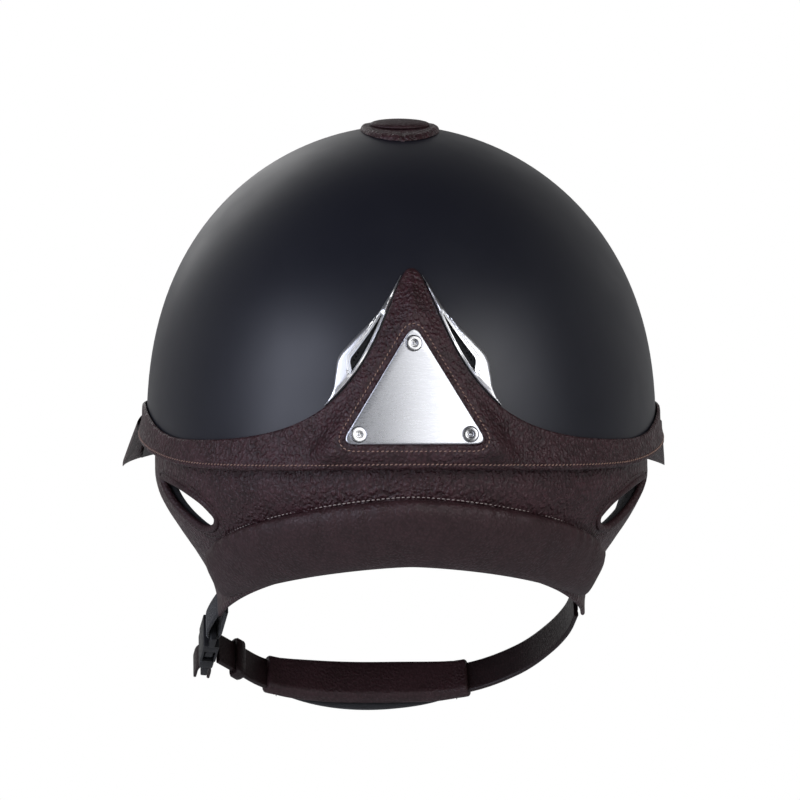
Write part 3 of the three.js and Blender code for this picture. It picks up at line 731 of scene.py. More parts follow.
def part(obj, name, slot, *nodes, body="helmet"):
    """Names a piece, hangs it on its body and hides the CAD nodes it stands for."""
    obj.name = name
    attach(obj, body)
    if nodes:
        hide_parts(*nodes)
    return obj


# ---------- shell, liners and comfort padding ----------


COMFORT_OUTER = 28.0  # depths of the comfort padding's two faces below the shell's
COMFORT_INNER = 32.5
CROWN_PAD_RIM = 86.0


def cup_sections(outer, inner, rim, columns, steps):
    """Sections of a cup between two offsets from the shell's face, open at a rim height."""
    angle = np.linspace(-math.pi, math.pi, columns, endpoint=False)
    edge = rim(angle)
    start = rise_at(np.maximum(edge + 5, BASE))
    faces = []
    for offset in (outer, inner):
        dome = [dome_point(angle, mix(start, math.pi / 2, k / (steps - 1)), offset) for k in range(steps)]
        faces.append([wall_point(angle, edge, offset), *dome])
    return np.stack(faces[0] + faces[1][::-1], axis=1)


def crescent_edge(x):
    """Height of the leather triangle's edge, where the rear vents begin."""
    return 12 + triangle_rise(x)


def off_crescent(x, distance):
    """Points a distance outward from the leather triangle's edge, given across."""
    line = np.stack([x, crescent_edge(x)], -1)
    slope = np.gradient(line[:, 1], line[:, 0])
    return line + np.asarray(distance)[..., None] * unit(np.stack([-slope, np.ones_like(slope)], -1))


def vent_outline(step):
    """Outer edge of the left rear vent's bezel as (x, z), from its tip to its tail and back."""
    tip, tail = (4.4, 81.6), (36.8, 27.2)
    bends = [(14.2, 66.2), (25.6, 54.2), (30.9, 47.8), (32.3, 41.0), (33.4, 34.0)]
    near = off_crescent(np.linspace(tail[0], tip[0], 90), 0.5)
    return closed_resampled(np.vstack([curve_through([tip, *bends, tail], step), near]), step)


def bezel_width(x):
    """Full width of the bezel, outward from the leather's edge at x."""
    share = np.maximum((x - 6) / 32.5, 0)
    swell = 9.6 * np.maximum(np.sin(math.pi * share**1.15), 0) ** 1.1
    return (swell + 0.9) * (1 - 0.85 * ease(x, 22, 35))


def mouth_width(x):
    """The same to the far side of the vent's mouth."""
    return 0.54 * bezel_width(x) * (1 - ease(x, 21, 26))


def vent_mouth(step, border=0.0):
    """Opening of the left rear vent as (x, z), grown by a border."""
    x = np.linspace(11 - border, 24.6 + border, 60)
    near = 1.9 - 0.8 * border
    far = np.maximum(mouth_width(x) + border, near + 0.25)
    return closed_resampled(np.vstack([off_crescent(x, far), off_crescent(x, near)[::-1]]), step)


def slot_outline(border, step):
    """Bar-shaped outline of the brow vent as (x, z), grown by a border."""
    half, low, high = 30 + border, 44 - border, 54 + border
    r = (high - low) / 2
    turn = np.linspace(-math.pi / 2, math.pi / 2, 24)
    right = np.stack([half - r + r * np.cos(turn), low + r + r * np.sin(turn)], -1)
    return closed_resampled(np.vstack([right, -right + np.array([0, 2 * (low + r)])]), step)


def on_dome(flat, offset, side, sign):
    """Points on the dome's face, seen from behind at (x, z) and mirrored by side."""
    x, z = flat[:, 0], flat[:, 1]
    return stack(side * x, dome_depth(x, z, offset, sign), z)


def prism(outline, reach, side=1):
    """A cutter: an outline drawn at (x, z), run along Y between two depths."""
    count = len(outline)
    points = [stack(side * outline[:, 0], np.full(count, y), outline[:, 1]) for y in reach]
    return loft("cutter", np.stack(points), SHELL_BLACK)


def vented(cup, mouth, slot):
    """A cup with both rear vents and the brow vent cut through it."""
    behind, ahead = (40, 170), (-170, -40)
    return cut(cup, prism(mouth, behind), prism(mouth, behind, -1), prism(slot, ahead))


def make_shell():
    sections = cup_sections(0, -SHELL_WALL, lambda a: trim_low(a) + 2.5, 224, 44)
    shell = ring_of_sections("shell", sections, SHELL_BLACK)
    vented(shell, vent_mouth(1.2, 1.2), slot_outline(2, 1.5))
    part(shell, "painted_shell", "shell_black", "outer_shell")


def make_liner():
    sections = cup_sections(-6.2, -27, lambda a: trim_low(a) + 3.5, 120, 22)
    liner = ring_of_sections("liner", sections, FOAM)
    vented(liner, vent_mouth(1.5), slot_outline(0, 1.5))
    part(liner, "foam_liner", "foam_black", "impact_liner")


def make_crown_liner():
    """Padding under the crown, drawn up along its sewn channels."""
    columns = 144
    edge = lambda a: np.full_like(a, CROWN_PAD_RIM)
    sections = cup_sections(-COMFORT_OUTER, -COMFORT_INNER, edge, columns, 24)
    angle = np.linspace(-math.pi, math.pi, columns, endpoint=False)
    inner = np.arange(sections.shape[1]) >= sections.shape[1] // 2
    sewn = (1 - np.abs(np.sin(4 * angle)) ** 0.45)[:, None] * inner
    out = unit(sections - np.array([0.0, -2.0, 70.0]))
    pad = ring_of_sections("pad", sections + out * (2.2 * sewn)[..., None], LINER_CLOTH, 70)
    part(pad, "crown_padding", "liner_fabric", "crown_liner")


def make_headband():
    """Padded band round the head, sewn into soft blocks."""
    angle = np.linspace(-math.pi, math.pi, 220, endpoint=False)
    low = trim_low(angle) + 4
    fullness = 1.55 * mix(0.62, 1.0, np.abs(np.sin(6 * angle)) ** 0.4)
    rows = []
    for turn in around(28):
        up = 0.5 - 0.5 * math.cos(turn) * (1 + 0.08 * math.sin(turn) ** 2)
        swell = max(math.sin(turn), 0) ** 0.7
        depth = (COMFORT_INNER - COMFORT_OUTER) * swell * fullness
        rows.append(wall_point(angle, low + 38 * np.clip(up, 0, 1), -(COMFORT_OUTER + depth)))
    band = ring_of_sections("band", np.stack(rows, axis=1), LINER_CLOTH, 70)
    part(band, "padded_headband", "liner_fabric", "headband")


make_shell()
make_liner()
make_crown_liner()
make_headband()


# ---------- leather trim at the rim ----------

PLATE_SEAM = 2.6  # the seam round the plate lies this far outside its outline
PLATE_GROOVE = 0.35  # how deep that seam is pressed in
PLATE_LIP = 0.35  # and how far the leather swells beside the plate
HEM_SEAM = 2.3  # and the seam along the band this far above its lower edge


def plate_relief(outside):
    """How far the leather stands off its seat near the plate: a lip beside it and a groove at the seam."""
    return PLATE_LIP * bell(outside, 0.9, 0.7) - PLATE_GROOVE * bell(outside, PLATE_SEAM, 0.5)


def trim_face(angle, z, low, high, steepness):
    """Outer face of the trim, with rounded edges and its seams pressed in."""
    bulge = 2 + 1.7 * ease(TRIM_HEIGHT - (z - low), 0, TRIM_HEIGHT)
    from_top = (high - z) / np.sqrt(1 + steepness**2)
    roll = 1.3 * (1 - edge_round(from_top, 1.3)) + 2.4 * (1 - edge_round(z - low, 1.6))
    point = wall_point(angle, z, bulge - roll - 0.3 * bell(z, low + HEM_SEAM, 0.45))
    outside, behind = outside_plate(point[..., 0], z), np.cos(angle) > 0.7
    flat = (1 - ease(outside, 2.5, 11)) * behind
    point[..., 1] = mix(point[..., 1], seat_depth(point[..., 0], z), flat) + plate_relief(outside) * behind
    return point


def make_trim():
    even = np.linspace(-math.pi, math.pi, 620, endpoint=False)
    angle = even - np.where(np.abs(even) < math.pi / 2, 0.42, 0.25) * np.sin(2 * even)
    low, high = trim_low(angle), trim_high(angle)
    steepness = np.gradient(high) / np.maximum(np.gradient(angle) * HALF_WIDTH, 1e-6)
    near_low = [0, 0.12, 0.3, 0.55, 0.85, 1.3, 1.7, 2.0, 2.3, 2.6, 2.9, 3.3, 3.8]
    near_high = np.array([0, 0.05, 0.15, 0.35, 0.65, 1.0, 1.5, 2.2])[:, None]
    drop = near_high * np.minimum(np.sqrt(1 + steepness**2), (high - low - 3.7) * 0.3)
    rows = [low + d for d in near_low]
    rows += [mix(rows[-1], high - drop[-1], k / 40) for k in range(1, 40)]
    rows += [high - d for d in drop[::-1]]
    face = [trim_face(angle, z, low, high, steepness) for z in rows]
    inside = [wall_point(angle, mix(low + 2, high, up), 0.7) for up in (0.995, 0.8, 0.6, 0.4, 0.2, 0)]
    under = [wall_point(angle, low + up, offset) for up, offset in ((2, -3.2), (0.4, -3.2), (0, -2.6))]
    sections = np.stack(face + inside + under, axis=1)
    grain = ripple(sections, 12) * 0.15 + ripple(sections, 3.5, 5) * 0.06
    out = unit(sections - np.array([0, 20, 20]))
    trim = ring_of_sections("trim", sections + out * grain[..., None], BROWN, 60)
    part(trim, "rim_trim", "leather_brown", "leather_trim")


def trim_seams():
    angle = np.linspace(-math.pi, math.pi, 900)
    z = trim_low(angle) + HEM_SEAM
    place = trim_face(angle, z, trim_low(angle), trim_high(angle), np.zeros_like(angle))
    out = wall_point(angle, z, 5.0) - wall_point(angle, z, 0.0)
    hem = stitches("hem", place, out, TAN_THREAD, pitch=1.9, length=1.35, radius=0.24, slant=0.42, lift=0.2)
    part(hem, "rim_seam", "leather_brown")
    loop = grown(plate_outline(0.5), PLATE_SEAM)
    loop = np.vstack([loop, loop[:1]])
    place = on_plate(stack(loop[:, 0], loop[:, 1], np.zeros(len(loop))))
    lean = np.array([0, math.cos(PLATE_TILT), math.sin(PLATE_TILT)])
    place = place + plate_relief(outside_plate(place[:, 0], place[:, 2]))[:, None] * lean
    out = np.tile(lean, (len(place), 1))
    seam = stitches("seam", place, out, TAN_THREAD, pitch=2.0, length=1.3, radius=0.23, slant=0.25, lift=0.2)
    part(seam, "plate_seam", "leather_brown")


make_trim()

# ---------- nape plate and its screws ----------


def on_plate(points):
    """Points drawn on the plate's own plane, x across, y up it and z out of it, bent with it."""
    points = np.asarray(points, float)
    x, y, z = -points[..., 0], points[..., 1], points[..., 2]
    sine, cosine = math.sin(PLATE_TILT), math.cos(PLATE_TILT)
    bow = x * x / (2 * PLATE_BOW)
    return stack(x, PLATE["depth"] - sine * y + cosine * z - bow, PLATE["low"] + cosine * y + sine * z)


def plate_outline(step):
    """Triangle with rounded corners on the plate's own plane."""
    half, top = PLATE["width"] / 2, PLATE["height"] / math.cos(PLATE_TILT)
    corners = np.array([(half, 0.0), (0.0, top), (-half, 0.0)])
    loop = []
    for i, corner in enumerate(corners):
        start, end = (corner + PLATE["corner"] * unit(corners[k % 3] - corner) for k in (i - 1, i + 1))
        for t in np.linspace(0, 1, 12):
            loop.append((1 - t) ** 2 * start + 2 * t * (1 - t) * corner + t * t * end)
    return closed_resampled(np.array(loop), step)


SCREW_SPOTS = {"top": (0.0, 42.6), "left": (-23.2, 4.1), "right": (23.2, 4.1)}
SCREW_HEAD = 3.3


def make_plate():
    holes = [circle(x, y, SCREW_HEAD + 0.14, 48) for x, y in SCREW_SPOTS.values()]
    sheet = Sheet([plate_outline(0.8), *holes], 2.4, [0.12, 0.3, 0.55])
    from_rim, from_hole = sheet.apart[:, 0], sheet.apart[:, 1:].min(1)
    worn = 0.45 * (1 - edge_round(from_rim, 0.45)) + 0.1 * (1 - edge_round(from_hole, 0.12))
    bottom, top = (on_plate(stack(*sheet.flat.T, height)) for height in (GAP, GAP + PLATE["thick"] - worn))
    part(sheet.solid("plate", top, bottom, SATIN, 30), "nape_plate_satin", "satin_metal", "nape_plate")


def make_screw(name, x, y):
    """Flush screw: flat head, hexagonal socket and a pin in the middle of it."""
    face = GAP + PLATE["thick"]
    floor = face - 0.95
    lean = -x / PLATE_BOW
    centre = on_plate(np.array([x, y, 0.0]))
    sine, cosine = math.sin(PLATE_TILT), math.cos(PLATE_TILT)

    def place(points):
        px, py, pz = points[..., 0], points[..., 1], points[..., 2]
        side, out = px * math.cos(lean) + pz * math.sin(lean), pz * math.cos(lean) - px * math.sin(lean)
        return centre + stack(-side, cosine * out - sine * py, sine * out + cosine * py)

    head = [(0, face - 1.3), (2.9, face - 1.3), (3.3, face - 0.9), (3.3, face - 0.25), (3.22, face - 0.1)]
    head += [(3.05, face - 0.03), (2.2, face), (1.5, face), (1.38, face - 0.06), (1.35, floor), (0, floor)]
    pin = [(0, floor), (0.55, floor), (0.5, face - 0.45), (0.3, face - 0.3), (0, face - 0.28)]
    shank = [(0, -2.6), (1.4, -2.6), (1.4, face - 1.2), (0, face - 1.2)]
    turn = around(6)
    hexagon = [(1.37, face - 0.9), (1.37, face - 0.12), (1.1, face - 0.16), (1.1, face - 0.9)]
    hexagon = [stack(r * np.cos(turn), r * np.sin(turn), np.full(6, z)) for r, z in hexagon]
    pieces = [turned("head", head, 48, place, STEEL), turned("pin", pin, 16, place, STEEL)]
    pieces.append(ring_of_sections("socket", place(np.stack(hexagon, axis=1)), STEEL, 20))
    pieces.append(turned("shank", shank, 20, place, STEEL))
    part(joined("screw", pieces), f"button_screw_{name}", "steel", f"plate_screw_{name}")


make_plate()
trim_seams()
for spot, (across, up) in SCREW_SPOTS.items():
    make_screw(spot, across, up)

# ---------- vents ----------

VENT_CREST = 2.1  # how far the bezel's lip stands off the shell
NECK_END = -4.6  # and where its neck ends inside it


def make_bezel(name, node, sheet, height, neck, side, sign):
    """A chrome lip round a vent and the neck that runs in through the shell, from (loop, offset) rows."""
    bottom, top = (on_dome(sheet.flat, offset, side, sign) for offset in (0.3, np.maximum(height, 0.35)))
    lip = sheet.solid("lip", top, bottom, CHROME, 30)
    neck = np.stack([on_dome(loop, offset, side, sign) for loop, offset in neck], axis=1)
    part(joined("bezel", [lip, ring_of_sections("neck", neck, CHROME, 30)]), name, "chrome", node)


def make_rear_bezel(side, word):
    """Polished crescent beside the triangle, stepped down towards its opening."""
    mouth = vent_mouth(0.7)
    sheet = Sheet([vent_outline(0.7), mouth], 1.0, [0.15, 0.4, 0.8, 1.05, 1.5, 1.75, 2.2])
    from_rim, from_mouth = sheet.apart.T
    x, z = sheet.flat.T
    far = ease(z - crescent_edge(x), 2.2, 4.0)
    steps = sum(0.5 * (1 - ease(from_mouth, at, at + 0.25)) for at in (0.8, 1.5))
    radius = np.minimum(1.5, 0.25 + 0.4 * bezel_width(x))
    height = VENT_CREST - far * steps - 0.25 * (1 - far)
    height -= radius * (1 - edge_round(from_rim, radius)) + 0.3 * (1 - edge_round(from_mouth, 0.4))
    wall = grown(mouth, 0.6)
    neck = [(mouth, 1.2), (mouth, NECK_END), (wall, NECK_END), (wall, 1.2)]
    make_bezel(f"chrome_bezel_{word}", f"rear_vent_bezel_{word}", sheet, height, neck, side, 1)


def perforated(outline, pitch, radius):
    """The outline and its rows of small six-sided holes."""
    low, high = outline.min(0), outline.max(0)
    loops, row = [outline], 0
    z = low[1] + pitch / 2
    while z < high[1]:
        x = low[0] + pitch * (0.25 + 0.5 * (row % 2))
        while x < high[0]:
            spot = np.array([[x, z]])
            if inside_loops(spot, [outline])[0] and loop_distance(spot, outline)[0] > radius + 0.45:
                loops.append(circle(x, z, radius, 6))
            x += pitch
        z += pitch * 0.87
        row += 1
    return loops


def make_vent_mesh(outline, pitch, radius, side, sign, name, node):
    sheet = Sheet(perforated(outline, pitch, radius), 3.0, [])
    top, bottom = (on_dome(sheet.flat, offset, side, sign) for offset in (-2.0, -3.0))
    part(sheet.solid(name, top, bottom, MESH_BLACK, 30), name, "mesh_black", node)


def make_brow_bezel():
    mouth = slot_outline(0, 1.0)
    sheet = Sheet([slot_outline(4, 1.0), mouth], 1.4, [0.15, 0.4, 0.8, 1.3])
    from_rim, from_mouth = sheet.apart.T
    height = 1.9 - 0.4 * (1 - ease(from_mouth, 0.9, 1.2))
    height -= 1.4 * (1 - edge_round(from_rim, 1.6)) + 0.4 * (1 - edge_round(from_mouth, 0.4))
    wall = grown(mouth, 1.0)
    neck = [(mouth, 1.1), (mouth, NECK_END), (wall, NECK_END), (wall, 1.1)]
    make_bezel("chrome_brow_bezel", "brow_vent_bezel", sheet, height, neck, 1, -1)


for side, word in ((1, "left"), (-1, "right")):
    make_rear_bezel(side, word)
    grille = grown(vent_mouth(0.8), -0.35)
    make_vent_mesh(grille, 1.7, 0.55, side, 1, f"rear_grille_{word}", f"rear_vent_mesh_{word}")
make_brow_bezel()
make_vent_mesh(slot_outline(-0.4, 1.0), 2.4, 0.8, 1, -1, "brow_grille", "brow_vent_mesh")

# ---------- top button ----------

BUTTON_Y = 7.0
BUTTON_SPAN = (17.2, 27.5)
BUTTON_TILT = 8 * DEG


def crown_patch(share, turn, height):
    """Points over the crown: a share of the button base's half axes and a height above the shell."""
    x = BUTTON_SPAN[0] * share * np.cos(turn)
    y = BUTTON_Y + BUTTON_SPAN[1] * share * np.sin(turn)
    return stack(x, y, dome_top(x, y, GAP) + height)


def make_button_base():
    """Leather disc drawn down over the crown, with a turned edge and a short seam at the back."""
    turn = around(96)
    rows = []
    for share in [*np.linspace(0, 0.9, 14), 0.93, 0.955, 0.975, 0.99, 0.998, 1.0]:
        rise = (0.5 + 1.7 * share**2) * edge_round((1 - share) * BUTTON_SPAN[0], 1.9)
        pleat = 0.12 * np.abs(np.sin(9 * turn)) * ease(share, 0.6, 0.95)
        seam = 0.5 * bell(turn, math.pi / 2, 0.03) * ease(share, 0.6, 0.8)
        rows.append(crown_patch(share, turn, rise - pleat - seam))
    rows += [crown_patch(share, turn, 0.0) for share in (0.99, 0.6, 0.0)]
    base = open_ring("base", np.stack(rows, axis=1), BROWN, 60)
    part(base, "button_base_leather", "leather_brown", "button_base")


def on_crown(points):
    """Points of the button's own frame, tipped back with the shell there."""
    sine, cosine = math.sin(BUTTON_TILT), math.cos(BUTTON_TILT)
    x, y, z = points[..., 0], points[..., 1], points[..., 2]
    seat = dome_top(np.zeros(1), np.full(1, BUTTON_Y))[0]
    return stack(x, BUTTON_Y + y * cosine + z * sine, seat + z * cosine - y * sine)


def make_button_cap():
    cap = [(0, 0.7), (11.6, 0.7), (12.5, 0.8), (12.9, 1.1), (13.0, 1.45), (12.8, 1.85), (12.1, 2.2)]
    cap += [(11.0, 2.5), (9.0, 2.8), (6.0, 3.1), (3.0, 3.25), (0, 3.3)]
    cap = turned("cap", cap, 80, on_crown, SMOOTH_BROWN, 60)
    part(cap, "button_cap_leather", "leather_brown", "button_cap")
    stem = [(0, -4.9), (4.6, -4.9), (4.6, -3.6), (2.2, -3.6), (2.2, 0.4), (0, 0.4)]
    part(turned("stem", stem, 32, on_crown, STEEL), "button_stem", "steel", "button_screw")


make_button_base()
make_button_cap()

# ---------- peak ----------

PEAK = {"reach": 56.0, "half_width": 121.5, "tip_y": -34.0, "side_z": -4.0, "front_z": 4.0, "thick": 2.6}
PEAK_SWEEP = 86 * DEG


def peak_point(across, out, depth):
    """Point of the peak: side to side, root to edge, and down from its top face."""
    turn = mix(-PEAK_SWEEP, PEAK_SWEEP, across)
    angle = math.pi - turn
    angle = np.where(angle > math.pi, angle - 2 * math.pi, angle)
    root = wall_point(angle, trim_low(angle) + 5.5, 4.3)
    front = RIM_CENTRE - FRONT_LENGTH - PEAK["reach"]
    ahead = np.maximum(np.cos(turn), 0)
    edge = stack(
        PEAK["half_width"] * np.sin(turn),
        mix(PEAK["tip_y"], front, ahead**0.85),
        mix(PEAK["side_z"], PEAK["front_z"], ahead**1.4),
    )
    point = root + (edge - root) * out[..., None]
    point[..., 2] += 3.2 * np.sin(math.pi * out) * ahead - depth
    return point


PEAK_ROLL = 0.06  # share of the peak's depth over which its edge is rolled


def peak_sections(first, last, root, edge, top, bottom, roll):
    """Closed sections of a layer of the peak, rolled over at its free edge."""
    across = np.linspace(first, last, 150)
    shares = [*np.linspace(root, edge - PEAK_ROLL, 16)]
    shares += [edge - PEAK_ROLL * left for left in (0.7, 0.4, 0.2, 0.08, 0.02, 0)]
    upper, lower = [], []
    for share in shares:
        fall = roll * (1 - edge_round((edge - share) / PEAK_ROLL, 1.0))
        out = np.full(len(across), share)
        upper.append(peak_point(across, out, top + fall))
        lower.append(peak_point(across, out, bottom - fall * 0.8))
    return np.stack(upper + lower[::-1], axis=1)


def make_peak():
    brim = loft("brim", peak_sections(0, 1, 0, 1, 0, PEAK["thick"], 1.25), BROWN, 60)
    part(brim, "leather_peak", "leather_brown", "peak")
    under = loft("under", peak_sections(0.1, 0.9, 0.06, 0.92, 3.1, 4.2, 0.4), DARK_LEATHER, 60)
    part(under, "peak_underside", "leather_dark", "peak_lining")
    count = 500
    line = peak_point(np.linspace(0.03, 0.97, count), np.full(count, 0.9), 0.0)
    seam = stitches("seam", line, np.tile([0, 0, 1.0], (count, 1)), TAN_THREAD, lift=0.1)
    part(seam, "peak_seam", "leather_brown")


make_peak()

# ---------- harness ----------


def bezier(*corners):
    t = np.linspace(0, 1, 40)[:, None]
    p0, p1, p2, p3 = (np.array(corner, float) for corner in corners)
    return (1 - t) ** 3 * p0 + 3 * t * (1 - t) ** 2 * p1 + 3 * t * t * (1 - t) * p2 + t**3 * p3


def skirt_angle(y, z):
    """Angle from the nape at which the skirt's side has a depth y at height z."""
    length = np.where(y > RIM_CENTRE, SKIRT_REAR, SKIRT_FRONT) * skirt_shrink(z)
    return np.arccos(np.clip((y - RIM_CENTRE) / length, -1, 1))


def unrolled(line):
    """Points of the skirt's side, given by depth and height, as (arc, height)."""
    return np.stack([skirt_angle(line[:, 0], line[:, 1]) * SKIRT_HALF_WIDTH, line[:, 1]], -1)


def on_skirt(line, side, offset):
    """Points of the skirt given as (arc, height)."""
    return skirt_point(side * line[:, 0] / SKIRT_HALF_WIDTH, line[:, 1], offset)


def side_outline(step):
    """The harness' free edge on one side as (arc, height): from the nape to the tab, and up to the temple."""
    y, z = TAB
    rear_corner, front_corner = (y + 6.6, z - 7.8), (y - 6.4, z + 7.7)
    rear = bezier((111, -41), (86, -49), (60, -57.5), rear_corner)
    front = bezier(front_corner, (4, -34), (-16, -22), (-32, 40))
    return unrolled(resampled(np.vstack([rear, front]), step))


def ear_outline(margin, step):
    """Left ear opening as (arc, height), grown by a margin."""
    upper = [(46, -7), (58, -7.5), (70, -10.5), (80, -15.5)]
    lower = [(82, -21), (76, -25.5), (67, -26), (58, -21), (49, -13)]
    middle = np.array([66.0, -17.0])
    out = np.array(upper + lower, float) - middle
    return unrolled(curve_through(middle + out + margin * unit(out), step, closed=True))


def harness_top(arc):
    return trim_low(arc / SKIRT_HALF_WIDTH) + 8


def harness_loops(step):
    """Outline of the whole harness as (arc, height), with both ear openings."""
    free = side_outline(step)
    free = free[free[:, 1] < harness_top(free[:, 0])]
    half = np.vstack([[0, free[0, 1]], free])
    top = np.linspace(free[-1, 0], 0, 150)[1:]
    half = np.vstack([half, np.stack([top, harness_top(top)], -1)])
    flip = np.array([-1, 1])
    ear = ear_outline(0, step)
    return [closed_resampled(np.vstack([half, half[::-1][1:-1] * flip]), step), ear, ear[::-1] * flip]


def skirt_piece(name, loops, side, outer, thick, material, spacing=2.6, drape=0.0):
    """A panel of the skirt with rounded edges, its outer face at an offset."""
    sheet = Sheet(loops, spacing, [0.15, 0.45, 0.9, 1.5])
    half = thick / 2
    swell = half * edge_round(sheet.edge, half * 1.3)
    place = on_skirt(sheet.flat, side, 0.0)
    sag = drape * (ripple(place, 16) + 0.35 * ripple(place, 5, 3)) * ease(sheet.edge, 0, 6)
    top = on_skirt(sheet.flat, side, outer - half + swell + sag)
    bottom = on_skirt(sheet.flat, side, outer - half - swell)
    return sheet.solid(name, top, bottom, material, 60)


def piping(name, line, side, offset, radius, material):
    """A round cord of leather along a closed line of (arc, height) on the skirt."""
    middle = on_skirt(line, side, offset)
    out = unit(on_skirt(line, side, offset + 5) - middle)[:, None]
    across = unit(np.cross(np.roll(middle, -1, axis=0) - np.roll(middle, 1, axis=0), out[:, 0]))[:, None]
    turn = around(12)[None, :, None]
    rings = middle[:, None] + radius * (np.cos(turn) * out + np.sin(turn) * across)
    return ring_of_sections(name, rings, material, 60)


def make_harness():
    """One sheet of leather from temple to temple, with a corded edge at the ears."""
    web = skirt_piece("harness", harness_loops(1.2), 1, 0.0, HARNESS_THICK, BROWN, drape=0.4)
    part(web, "harness_leather", "leather_brown", "nape_panel", "side_harness_left", "side_harness_right")
    for side, word in ((1, "left"), (-1, "right")):
        inside = [ear_lining_outline(1.6), ear_outline(-0.4, 1.6)]
        lining = skirt_piece("lining", inside, side, -2.3, 4.2, LINER_CLOTH, 3.2)
        part(lining, f"ear_padding_{word}", "liner_fabric", f"ear_lining_{word}")
        edge = piping("edge", ear_outline(0.7, 0.9), side, -0.7, 1.7, SMOOTH_BROWN)
        part(edge, f"ear_edge_{word}", "leather_brown")
        hole = ear_outline(4.2, 0.8)
        place = on_skirt(np.vstack([hole, hole[:1]]), side, 0.15)
        out = on_skirt(np.vstack([hole, hole[:1]]), side, 5) - place
        seam = stitches("seam", place, out, DARK_THREAD, radius=0.2, lift=0.1)
        part(seam, f"ear_seam_{word}", "leather_brown")


def ear_lining_outline(step):
    """Outline of the padding round the left ear opening, as (arc, height)."""
    ends = unrolled(np.array([(-10.0, 0.0), (92.0, 0.0)]))[:, 0]
    arc = np.linspace(*ends, 60)
    top = np.stack([arc, harness_top(arc) - 3], -1)
    low = [(94, -24), (84, -32), (66, -36), (40, -34), (10, -24), (-8, -10)]
    return closed_resampled(np.vstack([top, unrolled(np.array(low, float))]), step)


make_harness()

# ---------- neck roll ----------


ROLL_SWEEP = 72.0  # degrees from the nape to either end of the roll


def roll_low(angle):
    return -40.8 - 15.2 * (np.abs(angle) / DEG / 60) ** 1.5


def roll_high(angle):
    return -11.4 - 24.4 * (np.abs(angle) / DEG / 65) ** 1.5


def roll_end(across):
    """Fullness of the roll along its length: 1 but near its rounded ends."""
    return np.sqrt(np.maximum(1 - np.abs(2 * across - 1) ** 7, 0.02))


def roll_face(across, up, height):
    """Point of the neck roll: along, up its face from hem to seam, and off the harness."""
    angle = mix(-ROLL_SWEEP, ROLL_SWEEP, across) * DEG
    low, high = roll_low(angle), roll_high(angle)
    half = (high - low) / 2 * mix(0.55, 1, roll_end(across))
    return skirt_point(angle, (low + high) / 2 + half * (2 * up - 1), height)


def roll_height(across, up):
    """How far the roll stands off the harness: full in the middle and pulled down at its seams."""
    swell = np.maximum(1 - np.abs(2 * up - 1) ** 2.4, 0) ** 0.5
    near_seam = np.exp(-((1 - up) / 0.16)) * ease(1 - up, 0.0, 0.03)
    pucker = 0.5 * np.sin(across * 190 + 3 * np.sin(across * 31)) * near_seam
    return 1.7 + 7.5 * swell * roll_end(across) + pucker


def make_neck_roll():
    across = np.linspace(0, 1, 300)
    up = 0.5 - 0.5 * np.cos(np.linspace(0, math.pi, 46))
    front = [roll_face(across, v, roll_height(across, v)) for v in up]
    back = [roll_face(across, v, 0.9) for v in up[::-3]]
    sections = np.stack(front + back, axis=1)
    soft = 0.5 * ripple(sections, 26) + 0.16 * ripple(sections, 7, 4)
    soft *= np.concatenate([np.sin(np.pi * up) ** 0.5, np.zeros(len(back))])
    out = unit(sections - np.array([0, 20, -30]))
    roll = loft("roll", sections + out * soft[..., None], SMOOTH_BROWN, 70)
    part(roll, "neck_roll_leather", "leather_brown", "neck_roll")
    line = np.linspace(0.04, 0.96, 600)
    seat = roll_face(line, 1.0, 0.25)
    out = roll_face(line, 1.0, 5.0) - seat
    seam = stitches("seam", seat + np.array([0, 0, 0.9]), out, PALE_THREAD, radius=0.24, lift=0.12)
    part(seam, "neck_roll_seam", "leather_brown")


make_neck_roll()

# ---------- chin strap ----------

DOWN = np.array([0, -math.sin(STRAP_SLOPE), -math.cos(STRAP_SLOPE)])
BREADTH = np.array([0, -math.cos(STRAP_SLOPE), math.sin(STRAP_SLOPE)])
STRAP_POINTS = [(-76, -9), (-73, 4), (-66, 18), (-53, 34), (-30, 48), (4, 51), (36, 49.5), (58, 44)]
STRAP_POINTS += [(71, 32.6), (79.5, 24.5)]


def hang(x, drop):
    """Point of the hanging plane: across the face, and down and forward from the strap's start."""
    return STRAP_START + np.array([x, 0, 0]) + DOWN * drop


strap_line = curve_through([hang(x, drop) for x, drop in STRAP_POINTS], 0.5)
strap_inward = np.cross(BREADTH, unit(np.gradient(strap_line, axis=0)))


def on_strap(share, across, depth):
    """Point at a share of the strap's length, across its width and inward from its middle."""
    at, index = share * (len(strap_line) - 1), np.arange(len(strap_line))
    ways = (strap_line, strap_inward)
    line, inward = (stack(*(np.interp(at, index, axis) for axis in way.T)) for way in ways)
    return line + np.asarray(across)[..., None] * BREADTH + np.asarray(depth)[..., None] * inward


def share_at(x):
    return float(np.interp(x, strap_line[:, 0], np.linspace(0, 1, len(strap_line))))


def rounded_section(width, outer, inner, radius, fill, shift=0.0, crown=0.0):
    """Outline of a strap's section as (across, depth), with rounded edges and a crowned outer face."""
    half = width / 2
    right, left = half - radius, -half + radius
    below, above = inner - radius, outer + radius
    middles = [(right, below), (left, below), (left, above), (right, above)]
    loop = []
    for i, (x, y) in enumerate(middles):
        for way in np.linspace(math.pi / 2 * i, math.pi / 2 * (i + 1), 5):
            loop.append((x + radius * math.cos(way), y + radius * math.sin(way)))
    across, depth = closed_resampled(np.array(loop), width / fill).T
    outside = depth < (outer + inner) / 2
    return stack(across + shift, depth - crown * (1 - (across / half) ** 2) * outside)


